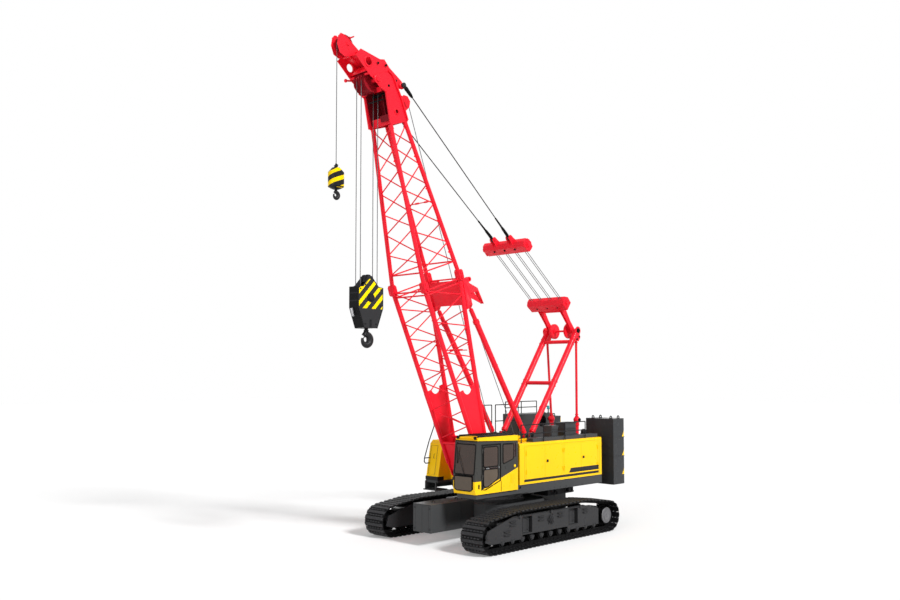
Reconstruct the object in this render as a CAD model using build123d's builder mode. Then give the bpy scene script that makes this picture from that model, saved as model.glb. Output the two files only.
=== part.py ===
# Crawler crane with a lattice boom, standing as it parks.
# Millimetres.  X points forward along the boom, Y to the left (the cab's side), Z up.
# The origin lies on the ground, on the slewing axis.
from build123d import *
from math import acos, atan2, cos, hypot, pi, radians, sin
import os

os.makedirs("parts", exist_ok=True)

# ------------------------------------------------------------------ driving sizes
seat_gap = 0.3  # between pieces that bear on each other
running_gap = 6  # between pieces that pass each other

# tracks
track_length = 6800
track_height = 1150
track_gauge = 4200
shoe_width = 840
shoe_pitch_aim = 200
shoe_thickness = 45
link_height = 90
end_round_radius = 500  # outside the shoes, round idler and sprocket
shoulder_x = 1650  # where the upper run starts to drop towards the ends
shoulder_radius = 900

# crawler frames
cheek_thickness = 30
frame_width = 400
frame_core_bottom = 400
frame_core_top = 900
leg_x = 1140  # the two cross legs of the carbody
leg_opening = 430
leg_opening_height = 480
leg_opening_bottom = 420
leg_width = 390
leg_end_recess = 110
roller_radius = 118
lower_rollers = 11
roller_run = 2250  # the outer rollers' distance from the middle
carrier_radius = 80
carrier_x = 1500
drive_disc_radius = 265
drive_disc_reach = 30  # past the outer cheek
sprocket_teeth = 16

# carbody
carbody_half_length = 1400
carbody_half_width = 1250
carbody_bottom = 500
carbody_top = 1180
ballast_length = 1880
ballast_width = 760
ballast_bottom = 420
ballast_top = 1250
ring_radius = 860
ring_height = 120

# upperworks
deck_bottom = 1440
deck_top = 1720
deck_half_width = 1600
deck_rear = -3700
house_front = 650
house_roof = 2990
house_inner_y = 800
house_wall = 40
right_house_front = 1570
right_house_top_front = 1360
right_house_inner_y = 1050
hood_front = -2250
hood_rear = -4150
hood_inner_y = 865
hood_top = 3725
door_front = 360
door_width = 965
door_bottom = 1860
door_top = 2900
door_gap = 6
door_post = 60
hinge_radius = 14
hinge_length = 70

# cab
cab_front = 2800
cab_rear = 860
cab_inner_y = 840
cab_outer_y = 1710
cab_bottom = 1620
cab_roof = 3270
cab_wall = 50
glass_thickness = 10

# counterweight
weight_front = -4200
weight_length = 760
weight_half_width = 1750
weight_inner_y = 600
weight_right_inner_y = 1100  # the engine hood's side leaves less room
tray_bottom = 1330
tray_top = 1680
weight_top = 3590

# boom, in its own frame: n forward from the axis, t along it from the foot pin
boom_angle = 71.3
foot_x = 1030
foot_z = 1720
boom_half_width = 690
joint_t = 6540
joint_half_depth = 780
head_t = 11330
head_half_depth = 300
head_half_width = 385
chord_radius = 72
lacing_radius = 27
foot_pin_radius = 45
foot_eye_radius = 130
foot_eye_width = 100
foot_plate_thickness = 30
foot_plate_top = 3150
joint_lug_radius = 104
joint_lug_length = 150
head_lug_length = 120
chord_start = 700
top_chord_radius = 64

# head and sheaves
cheek_y = 412
head_plate = 28
lower_plate_y = 440  # against the cheeks' outer faces
jib_bore_n = 600
jib_bore_t = 13170
jib_bore_radius = 120
main_sheave_n = 440
main_sheave_t = 12640
main_sheave_radius = 315
main_sheave_spacing = 200  # between the two pairs of falls
main_sheave_rows = (-2, -1, 0, 1, 2)  # the head's sheaves, half a spacing apart
aux_sheave_n = 965
aux_sheave_t = 13760
aux_sheave_radius = 270
sheave_width = 70
guide_sheave_n = -640  # the ropes' guide sheaves behind the head
guide_sheave_t = 11900
guide_sheave_y = 200
guide_sheave_radius = 150
guide_plate_gap = 46  # from a guide sheave's middle to its plates' middle
guide_plate = 16
sheave_pin_radius = 55
rope_radius = 11

# hooks
block_drop = 6250  # from the head sheaves' pin down to the block's sheave pin
block_thickness = 400
aux_drop = 3580  # from the head sheave's pin down to the top of the weight
aux_weight_radius = 225
aux_weight_height = 560

# gantry, its rear struts and the luffing tackle
gantry_foot = (-1090, 610, 3120)
gantry_top = (-3600, 640, 6620)
gantry_leg_radius = 100
strut_fork = (-3710, 560, 3540)
gantry_sheave_y = 320
gantry_sheave_radius = 270
bail_sheave_x = -2870
bail_sheave_z = 7600
bail_half_width = 790
bail_arm_y = 470
bail_arm_radius = 55
luffing_rope_pitch = 420
luffing_rope_step = 85
luffing_rope_length = 2840
spreader_half_width = 900
pendant_n = -440
pendant_t = 12360
pendant_radius = 16
pendant_sleeve_radius = 27
pendant_eye_radius = 75
pendant_eye_half = 30
pendant_pin_radius = 28
pendant_head_y = 545
pendant_foot_y = 350

# backstops
backstop_foot = (-730, 690, 3110)
backstop_pin_radius = 34
backstop_eye_n = -895
backstop_eye_radius = 55
backstop_eye_t = 5560
backstop_tube_radius = 88
backstop_rod_radius = 70
backstop_tube_end = 560  # from the eye at the boom back to the tube's mouth

# ------------------------------------------------------------------ frames and helpers
lean = radians(boom_angle)
boom_along = Vector(cos(lean), 0, sin(lean))
boom_front = Vector(sin(lean), 0, -cos(lean))
boom_foot = Vector(foot_x, 0, foot_z)


def on_boom(n, y, t):
    # a point of the boom's frame in the crane's frame
    return boom_foot + boom_front * n + boom_along * t + Vector(0, y, 0)


def boom_side(y):
    # a sketch plane along the boom at a given width: x is n, y is t
    return Plane(origin=boom_foot + Vector(0, y, 0), x_dir=boom_front, z_dir=(0, -1, 0))


def side(y):
    # a sketch plane across the crane's width: x is X, y is Z
    return Plane.XZ.offset(-y)


def mirror_y(point, sign):
    # the point itself, or its like on the other side
    x, y, z = point
    return Vector(x, sign * y, z)


def bar(start, end, radius):
    # a round bar or tube from point to point
    run = Vector(end) - Vector(start)
    with Locations(Plane(origin=start, z_dir=run).location):
        Cylinder(radius, run.length, align=(Align.CENTER, Align.CENTER, Align.MIN))


def pin(x, z, y_from, y_to, radius, mode=Mode.ADD):
    # a round pin, boss or bore across the crane
    with Locations(Plane(origin=(x, y_from, z), z_dir=(0, 1, 0)).location):
        Cylinder(
            radius, y_to - y_from, align=(Align.CENTER, Align.CENTER, Align.MIN), mode=mode
        )


def block(x_from, x_to, y_from, y_to, z_from, z_to, mode=Mode.ADD):
    with Locations(((x_from + x_to) / 2, (y_from + y_to) / 2, (z_from + z_to) / 2)):
        Box(x_to - x_from, y_to - y_from, z_to - z_from, mode=mode)


def plate(plane, points, thickness, mode=Mode.ADD):
    # a flat plate of the given outline, half its thickness each side of the plane
    with BuildSketch(plane) as outline:
        with BuildLine():
            Polyline(*points, close=True)
        make_face()
    extrude(outline.sketch, amount=thickness / 2, both=True, mode=mode)


def finish(part, name):
    part.part.label = name
    export_step(part.part, f"parts/{name}.step")


# ------------------------------------------------------------------ tracks
# The belt runs round four rounds: columns x, z, radius, all outside the shoes.
end_round_x = track_length / 2 - end_round_radius
shoulder_z = track_height - shoulder_radius
rounds = [
    (-end_round_x, end_round_radius, end_round_radius),
    (end_round_x, end_round_radius, end_round_radius),
    (shoulder_x, shoulder_z, shoulder_radius),
    (-shoulder_x, shoulder_z, shoulder_radius),
]


def run_normals():
    # the outward direction of the straight run from each round to the next
    normals = []
    for (x1, z1, r1), (x2, z2, r2) in zip(rounds, rounds[1:] + rounds[:1]):
        distance = hypot(x2 - x1, z2 - z1)
        normals.append(atan2(z2 - z1, x2 - x1) - acos((r1 - r2) / distance))
    return normals


normals = run_normals()


def belt_stretches(inset):
    # arc and straight run in turn: length, round, next round, first and last direction
    stretches = []
    for i, (x, z, radius) in enumerate(rounds):
        turn = (normals[i] - normals[i - 1]) % (2 * pi)
        stretches.append(((radius - inset) * turn, i, i, normals[i - 1], turn))
        j = (i + 1) % len(rounds)
        run = hypot(rounds[j][0] - x, rounds[j][1] - z)
        length = (run**2 - (radius - rounds[j][2]) ** 2) ** 0.5
        stretches.append((length, i, j, normals[i], 0))
    return stretches


def on_round(i, direction, inset):
    x, z, radius = rounds[i]
    return (
        x + (radius - inset) * cos(direction),
        z + (radius - inset) * sin(direction),
    )


def belt_point(distance, inset):
    # the place at a distance along the belt
    for length, i, j, direction, turn in belt_stretches(inset):
        if distance <= length:
            share = distance / length
            if turn:
                return on_round(i, direction + turn * share, inset)
            (x1, z1), (x2, z2) = on_round(i, direction, inset), on_round(j, direction, inset)
            return x1 + (x2 - x1) * share, z1 + (z2 - z1) * share
        distance -= length
    return belt_point(0, inset)


def belt_face(inset):
    # the area inside the belt at a given depth below the shoes
    with BuildSketch(Plane.XZ) as area:
        with BuildLine():
            for i in range(len(rounds)):
                turn = (normals[i] - normals[i - 1]) % (2 * pi)
                start = on_round(i, normals[i - 1], inset)
                middle = on_round(i, normals[i - 1] + turn / 2, inset)
                end = on_round(i, normals[i], inset)
                ThreePointArc(start, middle, end)
                Line(end, on_round((i + 1) % len(rounds), normals[i], inset))
        make_face()
    return area.sketch


belt_length = sum(stretch[0] for stretch in belt_stretches(shoe_thickness))
shoe_count = round(belt_length / shoe_pitch_aim)
shoe_pitch = belt_length / shoe_count
belt_depth = shoe_thickness + link_height

# One shoe's outline: columns share of the pitch from its middle, height above the belt.
shoe_outline = [
    (-0.47, 0),
    (-0.44, shoe_thickness),
    (-0.16, shoe_thickness),
    (-0.12, shoe_thickness * 0.72),
    (0.12, shoe_thickness * 0.72),
    (0.16, shoe_thickness),
    (0.44, shoe_thickness),
    (0.47, 0),
]
track_outline = []
for shoe in range(shoe_count):
    # each shoe lies straight between its two pins
    first = Vector(*belt_point(shoe * shoe_pitch, shoe_thickness))
    last = Vector(*belt_point((shoe + 1) * shoe_pitch, shoe_thickness))
    outward = Vector((last - first).Y, (first - last).X).normalized()
    for share, height in shoe_outline:
        corner = first + (last - first) * (share + 0.5) + outward * height
        track_outline.append((corner.X, corner.Y))

for name, sign in [("track_left", 1), ("track_right", -1)]:
    with BuildPart() as track:
        with BuildSketch(side(sign * track_gauge / 2)):
            with BuildLine():
                Polyline(*track_outline, close=True)
            make_face()
            add(belt_face(belt_depth), mode=Mode.SUBTRACT)
        extrude(amount=shoe_width / 2, both=True)
    finish(track, name)

# ------------------------------------------------------------------ crawler frames
inner_width = frame_width - 2 * cheek_thickness
wheel_radius = end_round_radius - belt_depth - seat_gap
cheek_front = end_round_x + 110
cheek_rear = -end_round_x + wheel_radius + 45
core_end = end_round_x - wheel_radius - 60
cheek_top = track_height - belt_depth - 50
cheek_low = belt_depth + 130
cheek_high = cheek_low + 110
notch_front = 1400
notch_rear = -850
# The cheek's outline: columns X, Z.
cheek_outline = [
    (cheek_front, end_round_radius - 150),
    (cheek_front - 90, end_round_radius + 150),
    (shoulder_x + 150, cheek_top),
    (-shoulder_x, cheek_top),
    (cheek_rear, end_round_radius + 270),
    (cheek_rear, cheek_low),
    (notch_rear - 40, cheek_low),
    (notch_rear + 40, cheek_high),
    (notch_front - 40, cheek_high),
    (notch_front + 40, cheek_low),
    (end_round_x - 160, cheek_low),
]
adjuster_radius = 105

for name, sign in [("crawler_frame_left", 1), ("crawler_frame_right", -1)]:
    middle = sign * track_gauge / 2
    outside = middle + sign * (frame_width / 2 - cheek_thickness / 2)
    inside = middle - sign * (frame_width / 2 - cheek_thickness / 2)
    with BuildPart() as crawler_frame:
        plate(side(outside), cheek_outline, cheek_thickness)
        plate(side(inside), cheek_outline, cheek_thickness)
        block(
            -core_end,
            core_end,
            middle - inner_width / 2,
            middle + inner_width / 2,
            frame_core_bottom,
            frame_core_top - 60,
        )
        # the arm that carries the final drive, round its axis
        with BuildSketch(side(inside)) as arm:
            with Locations((-end_round_x, end_round_radius)):
                Circle(drive_disc_radius - 25)
            with BuildLine():
                Polyline(
                    (-end_round_x, end_round_radius + drive_disc_radius - 60),
                    (cheek_rear + 5, end_round_radius + 200),
                    (cheek_rear + 5, end_round_radius - 200),
                    (-end_round_x, end_round_radius - drive_disc_radius + 60),
                    close=True,
                )
            make_face()
        extrude(arm.sketch, amount=cheek_thickness / 2, both=True)
        # the track adjuster's boss on the outer cheek
        with Locations(
            Plane(
                origin=(0, outside, (cheek_top + cheek_high) / 2), z_dir=(0, sign, 0)
            ).location
        ):
            Cylinder(
                adjuster_radius, 60, align=(Align.CENTER, Align.CENTER, Align.MIN)
            )
            Cylinder(
                adjuster_radius * 0.55, 95, align=(Align.CENTER, Align.CENTER, Align.MIN)
            )
        for x in (-leg_x, leg_x):
            block(
                x - leg_opening / 2,
                x + leg_opening / 2,
                middle - frame_width,
                middle + frame_width,
                leg_opening_bottom,
                leg_opening_bottom + leg_opening_height,
                mode=Mode.SUBTRACT,
            )
        # slots for the upper rollers
        for x in (-carrier_x, 0, carrier_x):
            block(
                x - carrier_radius - 15,
                x + carrier_radius + 15,
                middle - inner_width / 2,
                middle + inner_width / 2,
                frame_core_top - 160,
                frame_core_top,
                mode=Mode.SUBTRACT,
            )
    finish(crawler_frame, name)

# ------------------------------------------------------------------ wheels of the tracks
roller_z = belt_depth + seat_gap + roller_radius
carrier_z = track_height - belt_depth - seat_gap - carrier_radius
roller_pitch = 2 * roller_run / (lower_rollers - 1)
tooth_depth = 48
tooth_half = 18
tooth_relief = 1
for name, sign in [("running_gear_left", 1), ("running_gear_right", -1)]:
    middle = sign * track_gauge / 2
    half = inner_width / 2 - seat_gap
    with BuildPart() as running_gear:
        # idler: a rim, a thinner web and a hub
        with BuildSketch(side(middle)) as rim:
            with Locations((end_round_x, end_round_radius)):
                Circle(wheel_radius)
                Circle(wheel_radius - 70, mode=Mode.SUBTRACT)
        extrude(rim.sketch, amount=110, both=True)
        pin(end_round_x, end_round_radius, middle - 25, middle + 25, wheel_radius - 60)
        pin(end_round_x, end_round_radius, middle - half, middle + half, 90)
        # sprocket with the final drive in its middle
        with BuildSketch(side(middle)) as sprocket:
            with Locations((-end_round_x, end_round_radius)):
                Circle(wheel_radius - tooth_depth)
            for tooth in range(sprocket_teeth):
                with BuildLine(
                    Plane(origin=(-end_round_x, end_round_radius, 0)).rotated(
                        (0, 0, 360 / sprocket_teeth * tooth)
                    )
                ):
                    Polyline(
                        (wheel_radius - 2 * tooth_depth, -2 * tooth_half),
                        (wheel_radius - tooth_relief, -tooth_half),
                        (wheel_radius - tooth_relief, tooth_half),
                        (wheel_radius - 2 * tooth_depth, 2 * tooth_half),
                        close=True,
                    )
                make_face()
        extrude(sprocket.sketch, amount=60, both=True)
        drive_inner = middle - sign * half
        drive_outer = middle + sign * (frame_width / 2 + drive_disc_reach)
        low, high = sorted((drive_inner, drive_outer))
        pin(-end_round_x, end_round_radius, low, high, drive_disc_radius - 30)
        low, high = sorted((drive_outer, drive_outer - sign * 60))
        pin(-end_round_x, end_round_radius, low, high, drive_disc_radius)
        for index in range(lower_rollers):
            x = -roller_run + roller_pitch * index
            pin(x, roller_z, middle - half, middle + half, roller_radius * 0.55)
            pin(x, roller_z, middle - half + 20, middle - 60, roller_radius)
            pin(x, roller_z, middle + 60, middle + half - 20, roller_radius)
        for x in (-carrier_x, 0, carrier_x):
            pin(x, carrier_z, middle - half, middle + half, carrier_radius)
    finish(running_gear, name)

# ------------------------------------------------------------------ carbody
leg_bottom = leg_opening_bottom
leg_top = leg_opening_bottom + leg_opening_height - 40
leg_reach = track_gauge / 2 + frame_width / 2 - leg_end_recess
with BuildPart() as carbody:
    with BuildSketch(Plane.XY.offset(carbody_bottom)) as belly:
        Rectangle(2 * carbody_half_length, 2 * carbody_half_width)
        chamfer(belly.vertices(), length=420)
    extrude(amount=carbody_top - carbody_bottom - 60)
    with BuildSketch(Plane.XY.offset(carbody_bottom)):
        Rectangle(2 * carbody_half_length, ballast_width)
    extrude(amount=carbody_top - carbody_bottom - 60)
    with BuildSketch(Plane.XY.offset(carbody_top - 60)):
        Circle(ring_radius + 90)
    extrude(amount=60)
    for x in (-leg_x, leg_x):
        block(x - leg_width / 2, x + leg_width / 2, -leg_reach, leg_reach, leg_bottom, leg_top)
finish(carbody, "carbody")

with BuildPart() as carbody_ballast:
    for end in (1, -1):
        with BuildSketch(side(0)) as outline:
            with BuildLine():
                Polyline(
                    (end * carbody_half_length, ballast_bottom),
                    (end * (carbody_half_length + ballast_length), ballast_bottom),
                    (end * (carbody_half_length + ballast_length), ballast_top),
                    (end * carbody_half_length, ballast_top),
                    close=True,
                )
            make_face()
        extrude(outline.sketch, amount=ballast_width / 2, both=True)
finish(carbody_ballast, "carbody_ballast")

with BuildPart() as slew_ring:
    with BuildSketch(Plane.XY.offset(carbody_top)):
        Circle(ring_radius)
        Circle(ring_radius - 150, mode=Mode.SUBTRACT)
    extrude(amount=ring_height)
finish(slew_ring, "slew_ring")
ring_top = carbody_top + ring_height

# ------------------------------------------------------------------ slewing bed
girder_y = boom_half_width - foot_eye_width / 2 - running_gap - 15
lug_y = boom_half_width + foot_eye_width / 2 + running_gap + 15
# Feet that stand on the bed: columns x, y, z, half length of the bracket, eye's width.
feet = [
    (gantry_foot[0], gantry_foot[1], gantry_foot[2], 130, 90),
    (backstop_foot[0], backstop_foot[1], backstop_foot[2], 120, 90),
]
pedestal_top = gantry_foot[2] - 150
girder_top = deck_top + 560
girder_high_front = 330
girder_high_rear = -2850
bracket_plate = 25
bracket_pin_radius = 35
foot_neck = 135  # from a foot's pin to where the round tube starts
carrier_root = 400  # how far the cab's carrier reaches back under the deck
with BuildPart() as slewing_bed:
    # deck with the cab's arm and the right front step
    with BuildSketch(Plane.XY.offset(deck_top - 80)):
        with BuildLine():
            Polyline(
                (deck_rear, -deck_half_width),
                (right_house_front, -deck_half_width),
                (right_house_front, -right_house_inner_y),
                (house_front + 80, -right_house_inner_y),
                (house_front + 80, -girder_y),
                (house_front + 80, girder_y),
                (house_front + 80, deck_half_width),
                (deck_rear, deck_half_width),
                close=True,
            )
        make_face()
    extrude(amount=80)
    # side girders
    for sign in (1, -1):
        y = sign * (deck_half_width - 30)
        front = house_front if sign > 0 else right_house_front
        block(deck_rear, front, y - 30, y + 30, deck_bottom, deck_top)
    block(deck_rear, deck_rear + 60, -deck_half_width, deck_half_width, deck_bottom, deck_top)
    # main girders, high at the boom's foot
    for sign in (1, -1):
        plate(
            side(sign * girder_y),
            [
                (weight_front, deck_bottom),
                (foot_x + 90, deck_bottom),
                (foot_x + 170, foot_z - 120),
                (foot_x + 150, foot_z + 110),
                (foot_x - 120, foot_z + 170),
                (girder_high_front, girder_top),
                (girder_high_rear, girder_top),
                (girder_high_rear - 400, deck_top),
                (weight_front, deck_top),
            ],
            30,
        )
        plate(
            side(sign * lug_y),
            [
                (foot_x - 420, deck_bottom),
                (foot_x + 90, deck_bottom),
                (foot_x + 170, foot_z - 120),
                (foot_x + 150, foot_z + 110),
                (foot_x - 120, foot_z + 150),
                (foot_x - 420, foot_z),
            ],
            30,
        )
        low, high = sorted((sign * (girder_y - 35), sign * (lug_y + 35)))
        pin(foot_x, foot_z, low, high, foot_pin_radius)
        # pedestal for the gantry and the backstop
        plate(
            side(sign * (gantry_foot[1] + backstop_foot[1]) / 2),
            [
                (gantry_foot[0] - 220, deck_top - 10),
                (backstop_foot[0] + 260, deck_top - 10),
                (backstop_foot[0] + 120, pedestal_top),
                (gantry_foot[0] - 130, pedestal_top),
            ],
            220,
        )
        for x, y, z, half_length, eye_width in feet:
            for plate_y in (
                y - eye_width / 2 - running_gap / 2 - bracket_plate / 2,
                y + eye_width / 2 + running_gap / 2 + bracket_plate / 2,
            ):
                plate(
                    side(sign * plate_y),
                    [
                        (x - half_length, pedestal_top - 10),
                        (x + half_length, pedestal_top - 10),
                        (x + half_length * 0.6, z + 95),
                        (x - half_length * 0.6, z + 95),
                    ],
                    bracket_plate,
                )
            low, high = sorted((sign * (y - eye_width), sign * (y + eye_width)))
            pin(x, z, low, high, bracket_pin_radius)
    # the cab's carrier, which reaches back under the deck
    block(
        house_front - carrier_root,
        cab_front - 120,
        cab_inner_y + 40,
        cab_outer_y - 60,
        deck_bottom + 40,
        cab_bottom - seat_gap,
    )
    block(
        house_front - carrier_root,
        house_front,
        cab_inner_y + 40,
        cab_outer_y - 60,
        deck_bottom + 40,
        deck_top - 40,
    )
    # upper ring of the slewing bearing
    with BuildSketch(Plane.XY.offset(ring_top + seat_gap)):
        Circle(ring_radius + 40)
        Circle(ring_radius - 190, mode=Mode.SUBTRACT)
    extrude(amount=deck_top - 80 - ring_top - seat_gap)
finish(slewing_bed, "slewing_bed")

# ------------------------------------------------------------------ houses
# Doors of the left house: columns name, front edge, rear edge, hinge at the front.
doors = [
    ("house_door_1", door_front, door_front - door_width, True),
    ("house_door_2", door_front - door_width, door_front - 2 * door_width, False),
    ("house_door_3", door_front - 2 * door_width, door_front - 3 * door_width, True),
    ("house_door_4", door_front - 3 * door_width, door_front - 4 * door_width, False),
]
hinge_y = deck_half_width + hinge_radius + seat_gap
hinge_heights = (door_bottom + 160, door_top - 160 - 2 * hinge_length)
post_share = door_post / 2


def hinge_x(front, rear, at_front):
    # the post between the second and the third door carries two hinge lines
    return front - post_share if at_front else rear + post_share


def knuckle(x, y, z_from, z_to, web_x, web_y):
    # a hinge barrel with the web that joins it to its panel or post
    with Locations((x, y, z_from)):
        Cylinder(
            hinge_radius, z_to - z_from, align=(Align.CENTER, Align.CENTER, Align.MIN)
        )
    low_x, high_x = sorted((x, web_x))
    low_y, high_y = sorted((y, web_y))
    block(low_x, high_x, low_y, high_y, z_from, z_to)


with BuildPart() as house_left:
    with BuildSketch(Plane.XY.offset(deck_top)):
        with Locations(
            ((house_front + deck_rear) / 2, (house_inner_y + deck_half_width) / 2)
        ):
            Rectangle(house_front - deck_rear, deck_half_width - house_inner_y)
    extrude(amount=house_roof - deck_top)
    # the hollow behind the doors
    block(
        deck_rear + house_wall,
        house_front - house_wall,
        house_inner_y + house_wall,
        deck_half_width - house_wall,
        deck_top + house_wall,
        house_roof - house_wall,
        mode=Mode.SUBTRACT,
    )
    for first in (doors[0], doors[2]):
        block(
            first[2] - door_width + post_share,
            first[1] - post_share,
            deck_half_width - 2 * house_wall,
            deck_half_width + 1,
            door_bottom,
            door_top,
            mode=Mode.SUBTRACT,
        )
    for name, front, rear, at_front in doors:
        x = hinge_x(front, rear, at_front)
        toward_post = 20 if at_front else -20
        for z in hinge_heights:
            knuckle(x, hinge_y, z, z + hinge_length, x + toward_post, deck_half_width)
    house_top_edges = (
        house_left.edges().filter_by(Axis.X).group_by(Axis.Z)[-1].sort_by(Axis.Y)[-1:]
    )
    fillet(house_top_edges, 60)
finish(house_left, "house_left")

for name, front, rear, at_front in doors:
    x = hinge_x(front, rear, at_front)
    post_edge = door_gap + post_share
    front_edge = front - (post_edge if at_front else door_gap / 2)
    rear_edge = rear + (door_gap / 2 if at_front else post_edge)
    with BuildPart() as house_door:
        block(
            rear_edge,
            front_edge,
            deck_half_width - house_wall,
            deck_half_width,
            door_bottom + door_gap,
            door_top - door_gap,
        )
        toward_door = -45 if at_front else 45
        for z in hinge_heights:
            knuckle(
                x,
                hinge_y,
                z + hinge_length + seat_gap,
                z + 2 * hinge_length,
                x + toward_door,
                deck_half_width - 5,
            )
        # latch at the free edge
        if name in ("house_door_2", "house_door_4"):
            with Locations((front_edge - 110, deck_half_width + 8, (door_bottom + door_top) / 2)):
                Box(90, 16, 70)
    finish(house_door, name)

# right front house with its raked face
with BuildPart() as house_right:
    with BuildSketch(side(-(right_house_inner_y + deck_half_width) / 2)) as flank:
        with BuildLine():
            Polyline(
                (hood_front, deck_top),
                (right_house_front, deck_top),
                (right_house_top_front, house_roof - 110),
                (right_house_top_front - 110, house_roof),
                (hood_front, house_roof),
                close=True,
            )
        make_face()
    extrude(flank.sketch, amount=(deck_half_width - right_house_inner_y) / 2, both=True)
    block(
        hood_front,
        house_front,
        -right_house_inner_y,
        -house_inner_y,
        deck_top,
        house_roof,
    )
finish(house_right, "house_right")

with BuildPart() as front_step:
    plate(
        side(-(right_house_inner_y + deck_half_width) / 2),
        [
            (right_house_front - 420, deck_bottom - 40),
            (right_house_front + 90, deck_bottom - 40),
            (right_house_front + 90, deck_bottom - 5),
            (right_house_front - 420, deck_bottom - 5),
        ],
        deck_half_width - right_house_inner_y + 60,
    )
    for y in (-right_house_inner_y - 60, -deck_half_width + 20):
        block(
            right_house_front + seat_gap,
            right_house_front + 40,
            y - 20,
            y + 20,
            deck_bottom - 20,
            deck_top - 30,
        )
finish(front_step, "front_step")

# engine hood, hollow round the engine
exhaust_x = hood_front - 1300
exhaust_z = hood_top - 260
exhaust_radius = 200
engine_margin = 200
engine_height = 950
with BuildPart() as engine_hood:
    block(hood_rear, hood_front - seat_gap, -deck_half_width, -hood_inner_y, deck_top, hood_top)
    block(
        hood_rear + house_wall,
        hood_front - house_wall,
        -deck_half_width + house_wall,
        -hood_inner_y - house_wall,
        deck_top - 1,
        hood_top - house_wall,
        mode=Mode.SUBTRACT,
    )
    # the exhaust opening in the inner face
    with Locations(
        Plane(origin=(exhaust_x, -hood_inner_y - 2 * house_wall, exhaust_z), z_dir=(0, 1, 0)).location
    ):
        Cylinder(exhaust_radius, 5 * house_wall, mode=Mode.SUBTRACT)
finish(engine_hood, "engine_hood")

with BuildPart() as engine_block:
    block(
        hood_rear + engine_margin,
        hood_front - engine_margin,
        -deck_half_width + 2 * house_wall,
        -hood_inner_y - 2 * house_wall,
        deck_top + seat_gap,
        deck_top + engine_height,
    )
finish(engine_block, "engine_block")

# boxes and sill on the left roof: columns front, rear, height
roof_boxes = [(-1440, -1780, 440), (-2150, -2760, 520)]
roof_box_inner_y = house_inner_y + 60
roof_box_outer_y = roof_box_inner_y + 360
roof_sill_front = -150
roof_sill_rear = deck_rear + 60
roof_sill_height = 110
with BuildPart() as roof_boxes_left:
    for front, rear, height in roof_boxes:
        block(
            rear,
            front,
            roof_box_inner_y,
            roof_box_outer_y,
            house_roof + seat_gap,
            house_roof + height,
        )
    # the sill along the roof, between the boxes and the rail
    block(
        roof_sill_rear,
        roof_sill_front,
        roof_box_outer_y + running_gap,
        deck_half_width - 2 * hinge_radius - 90,
        house_roof + seat_gap,
        house_roof + roof_sill_height,
    )
finish(roof_boxes_left, "roof_boxes_left")

# ------------------------------------------------------------------ cab
cab_belt = cab_bottom + 620
cab_brow = cab_roof - 120
cab_rake = 90
cab_door_front = cab_front - 330
cab_door_rear = cab_door_front - 800
cab_rail = 70
cab_hinge_x = cab_door_front + 20
cab_hinge_y = cab_outer_y + hinge_radius + seat_gap
cab_hinge_heights = (cab_bottom + 420, cab_roof - 460)
cab_mid_y = (cab_inner_y + cab_outer_y) / 2
# The cab's side outline: columns X, Z.
cab_outline = [
    (cab_rear, cab_bottom),
    (cab_front - 30, cab_bottom),
    (cab_front, cab_bottom + 120),
    (cab_front, cab_belt),
    (cab_front - cab_rake, cab_brow),
    (cab_front - cab_rake - 80, cab_roof),
    (cab_rear, cab_roof),
]
cab_door_outline = [
    (cab_door_rear, cab_bottom + 330),
    (cab_door_front - 140, cab_bottom + 110),
    (cab_door_front, cab_bottom + 110),
    (cab_door_front, cab_roof - 220),
    (cab_door_rear, cab_roof - 220),
]
# Windows in the cab's sides: columns X, Z.
quarter_window = [
    (cab_rear + 90, cab_bottom + 1010),
    (cab_door_rear - 110, cab_bottom + 850),
    (cab_door_rear - 110, cab_roof - 220),
    (cab_rear + 90, cab_roof - 220),
]
right_window = [
    (cab_rear + 120, cab_bottom + 700),
    (cab_front - 260, cab_bottom + 700),
    (cab_front - 300, cab_roof - 220),
    (cab_rear + 120, cab_roof - 220),
]
# Front windows: columns low and high, one below the belt and one above it.
front_windows = [(cab_bottom + 150, cab_belt - 60), (cab_belt + 20, cab_brow - 30)]
roof_window_rear = cab_rear + 700
roof_window_front = cab_front - 330
roof_window_side = 150


def front_face(z):
    # the front face's X at a height: upright below the belt, raked above it
    rise = max(0, z - cab_belt) / (cab_brow - cab_belt)
    return cab_front - cab_rake * rise


def pane(plane, points):
    # a sheet of glass just clear of the window's edge
    with BuildSketch(plane) as sheet:
        with BuildLine():
            Polyline(*points, close=True)
        make_face()
        offset(amount=-seat_gap)
    extrude(sheet.sketch, amount=glass_thickness / 2, both=True)


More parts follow.
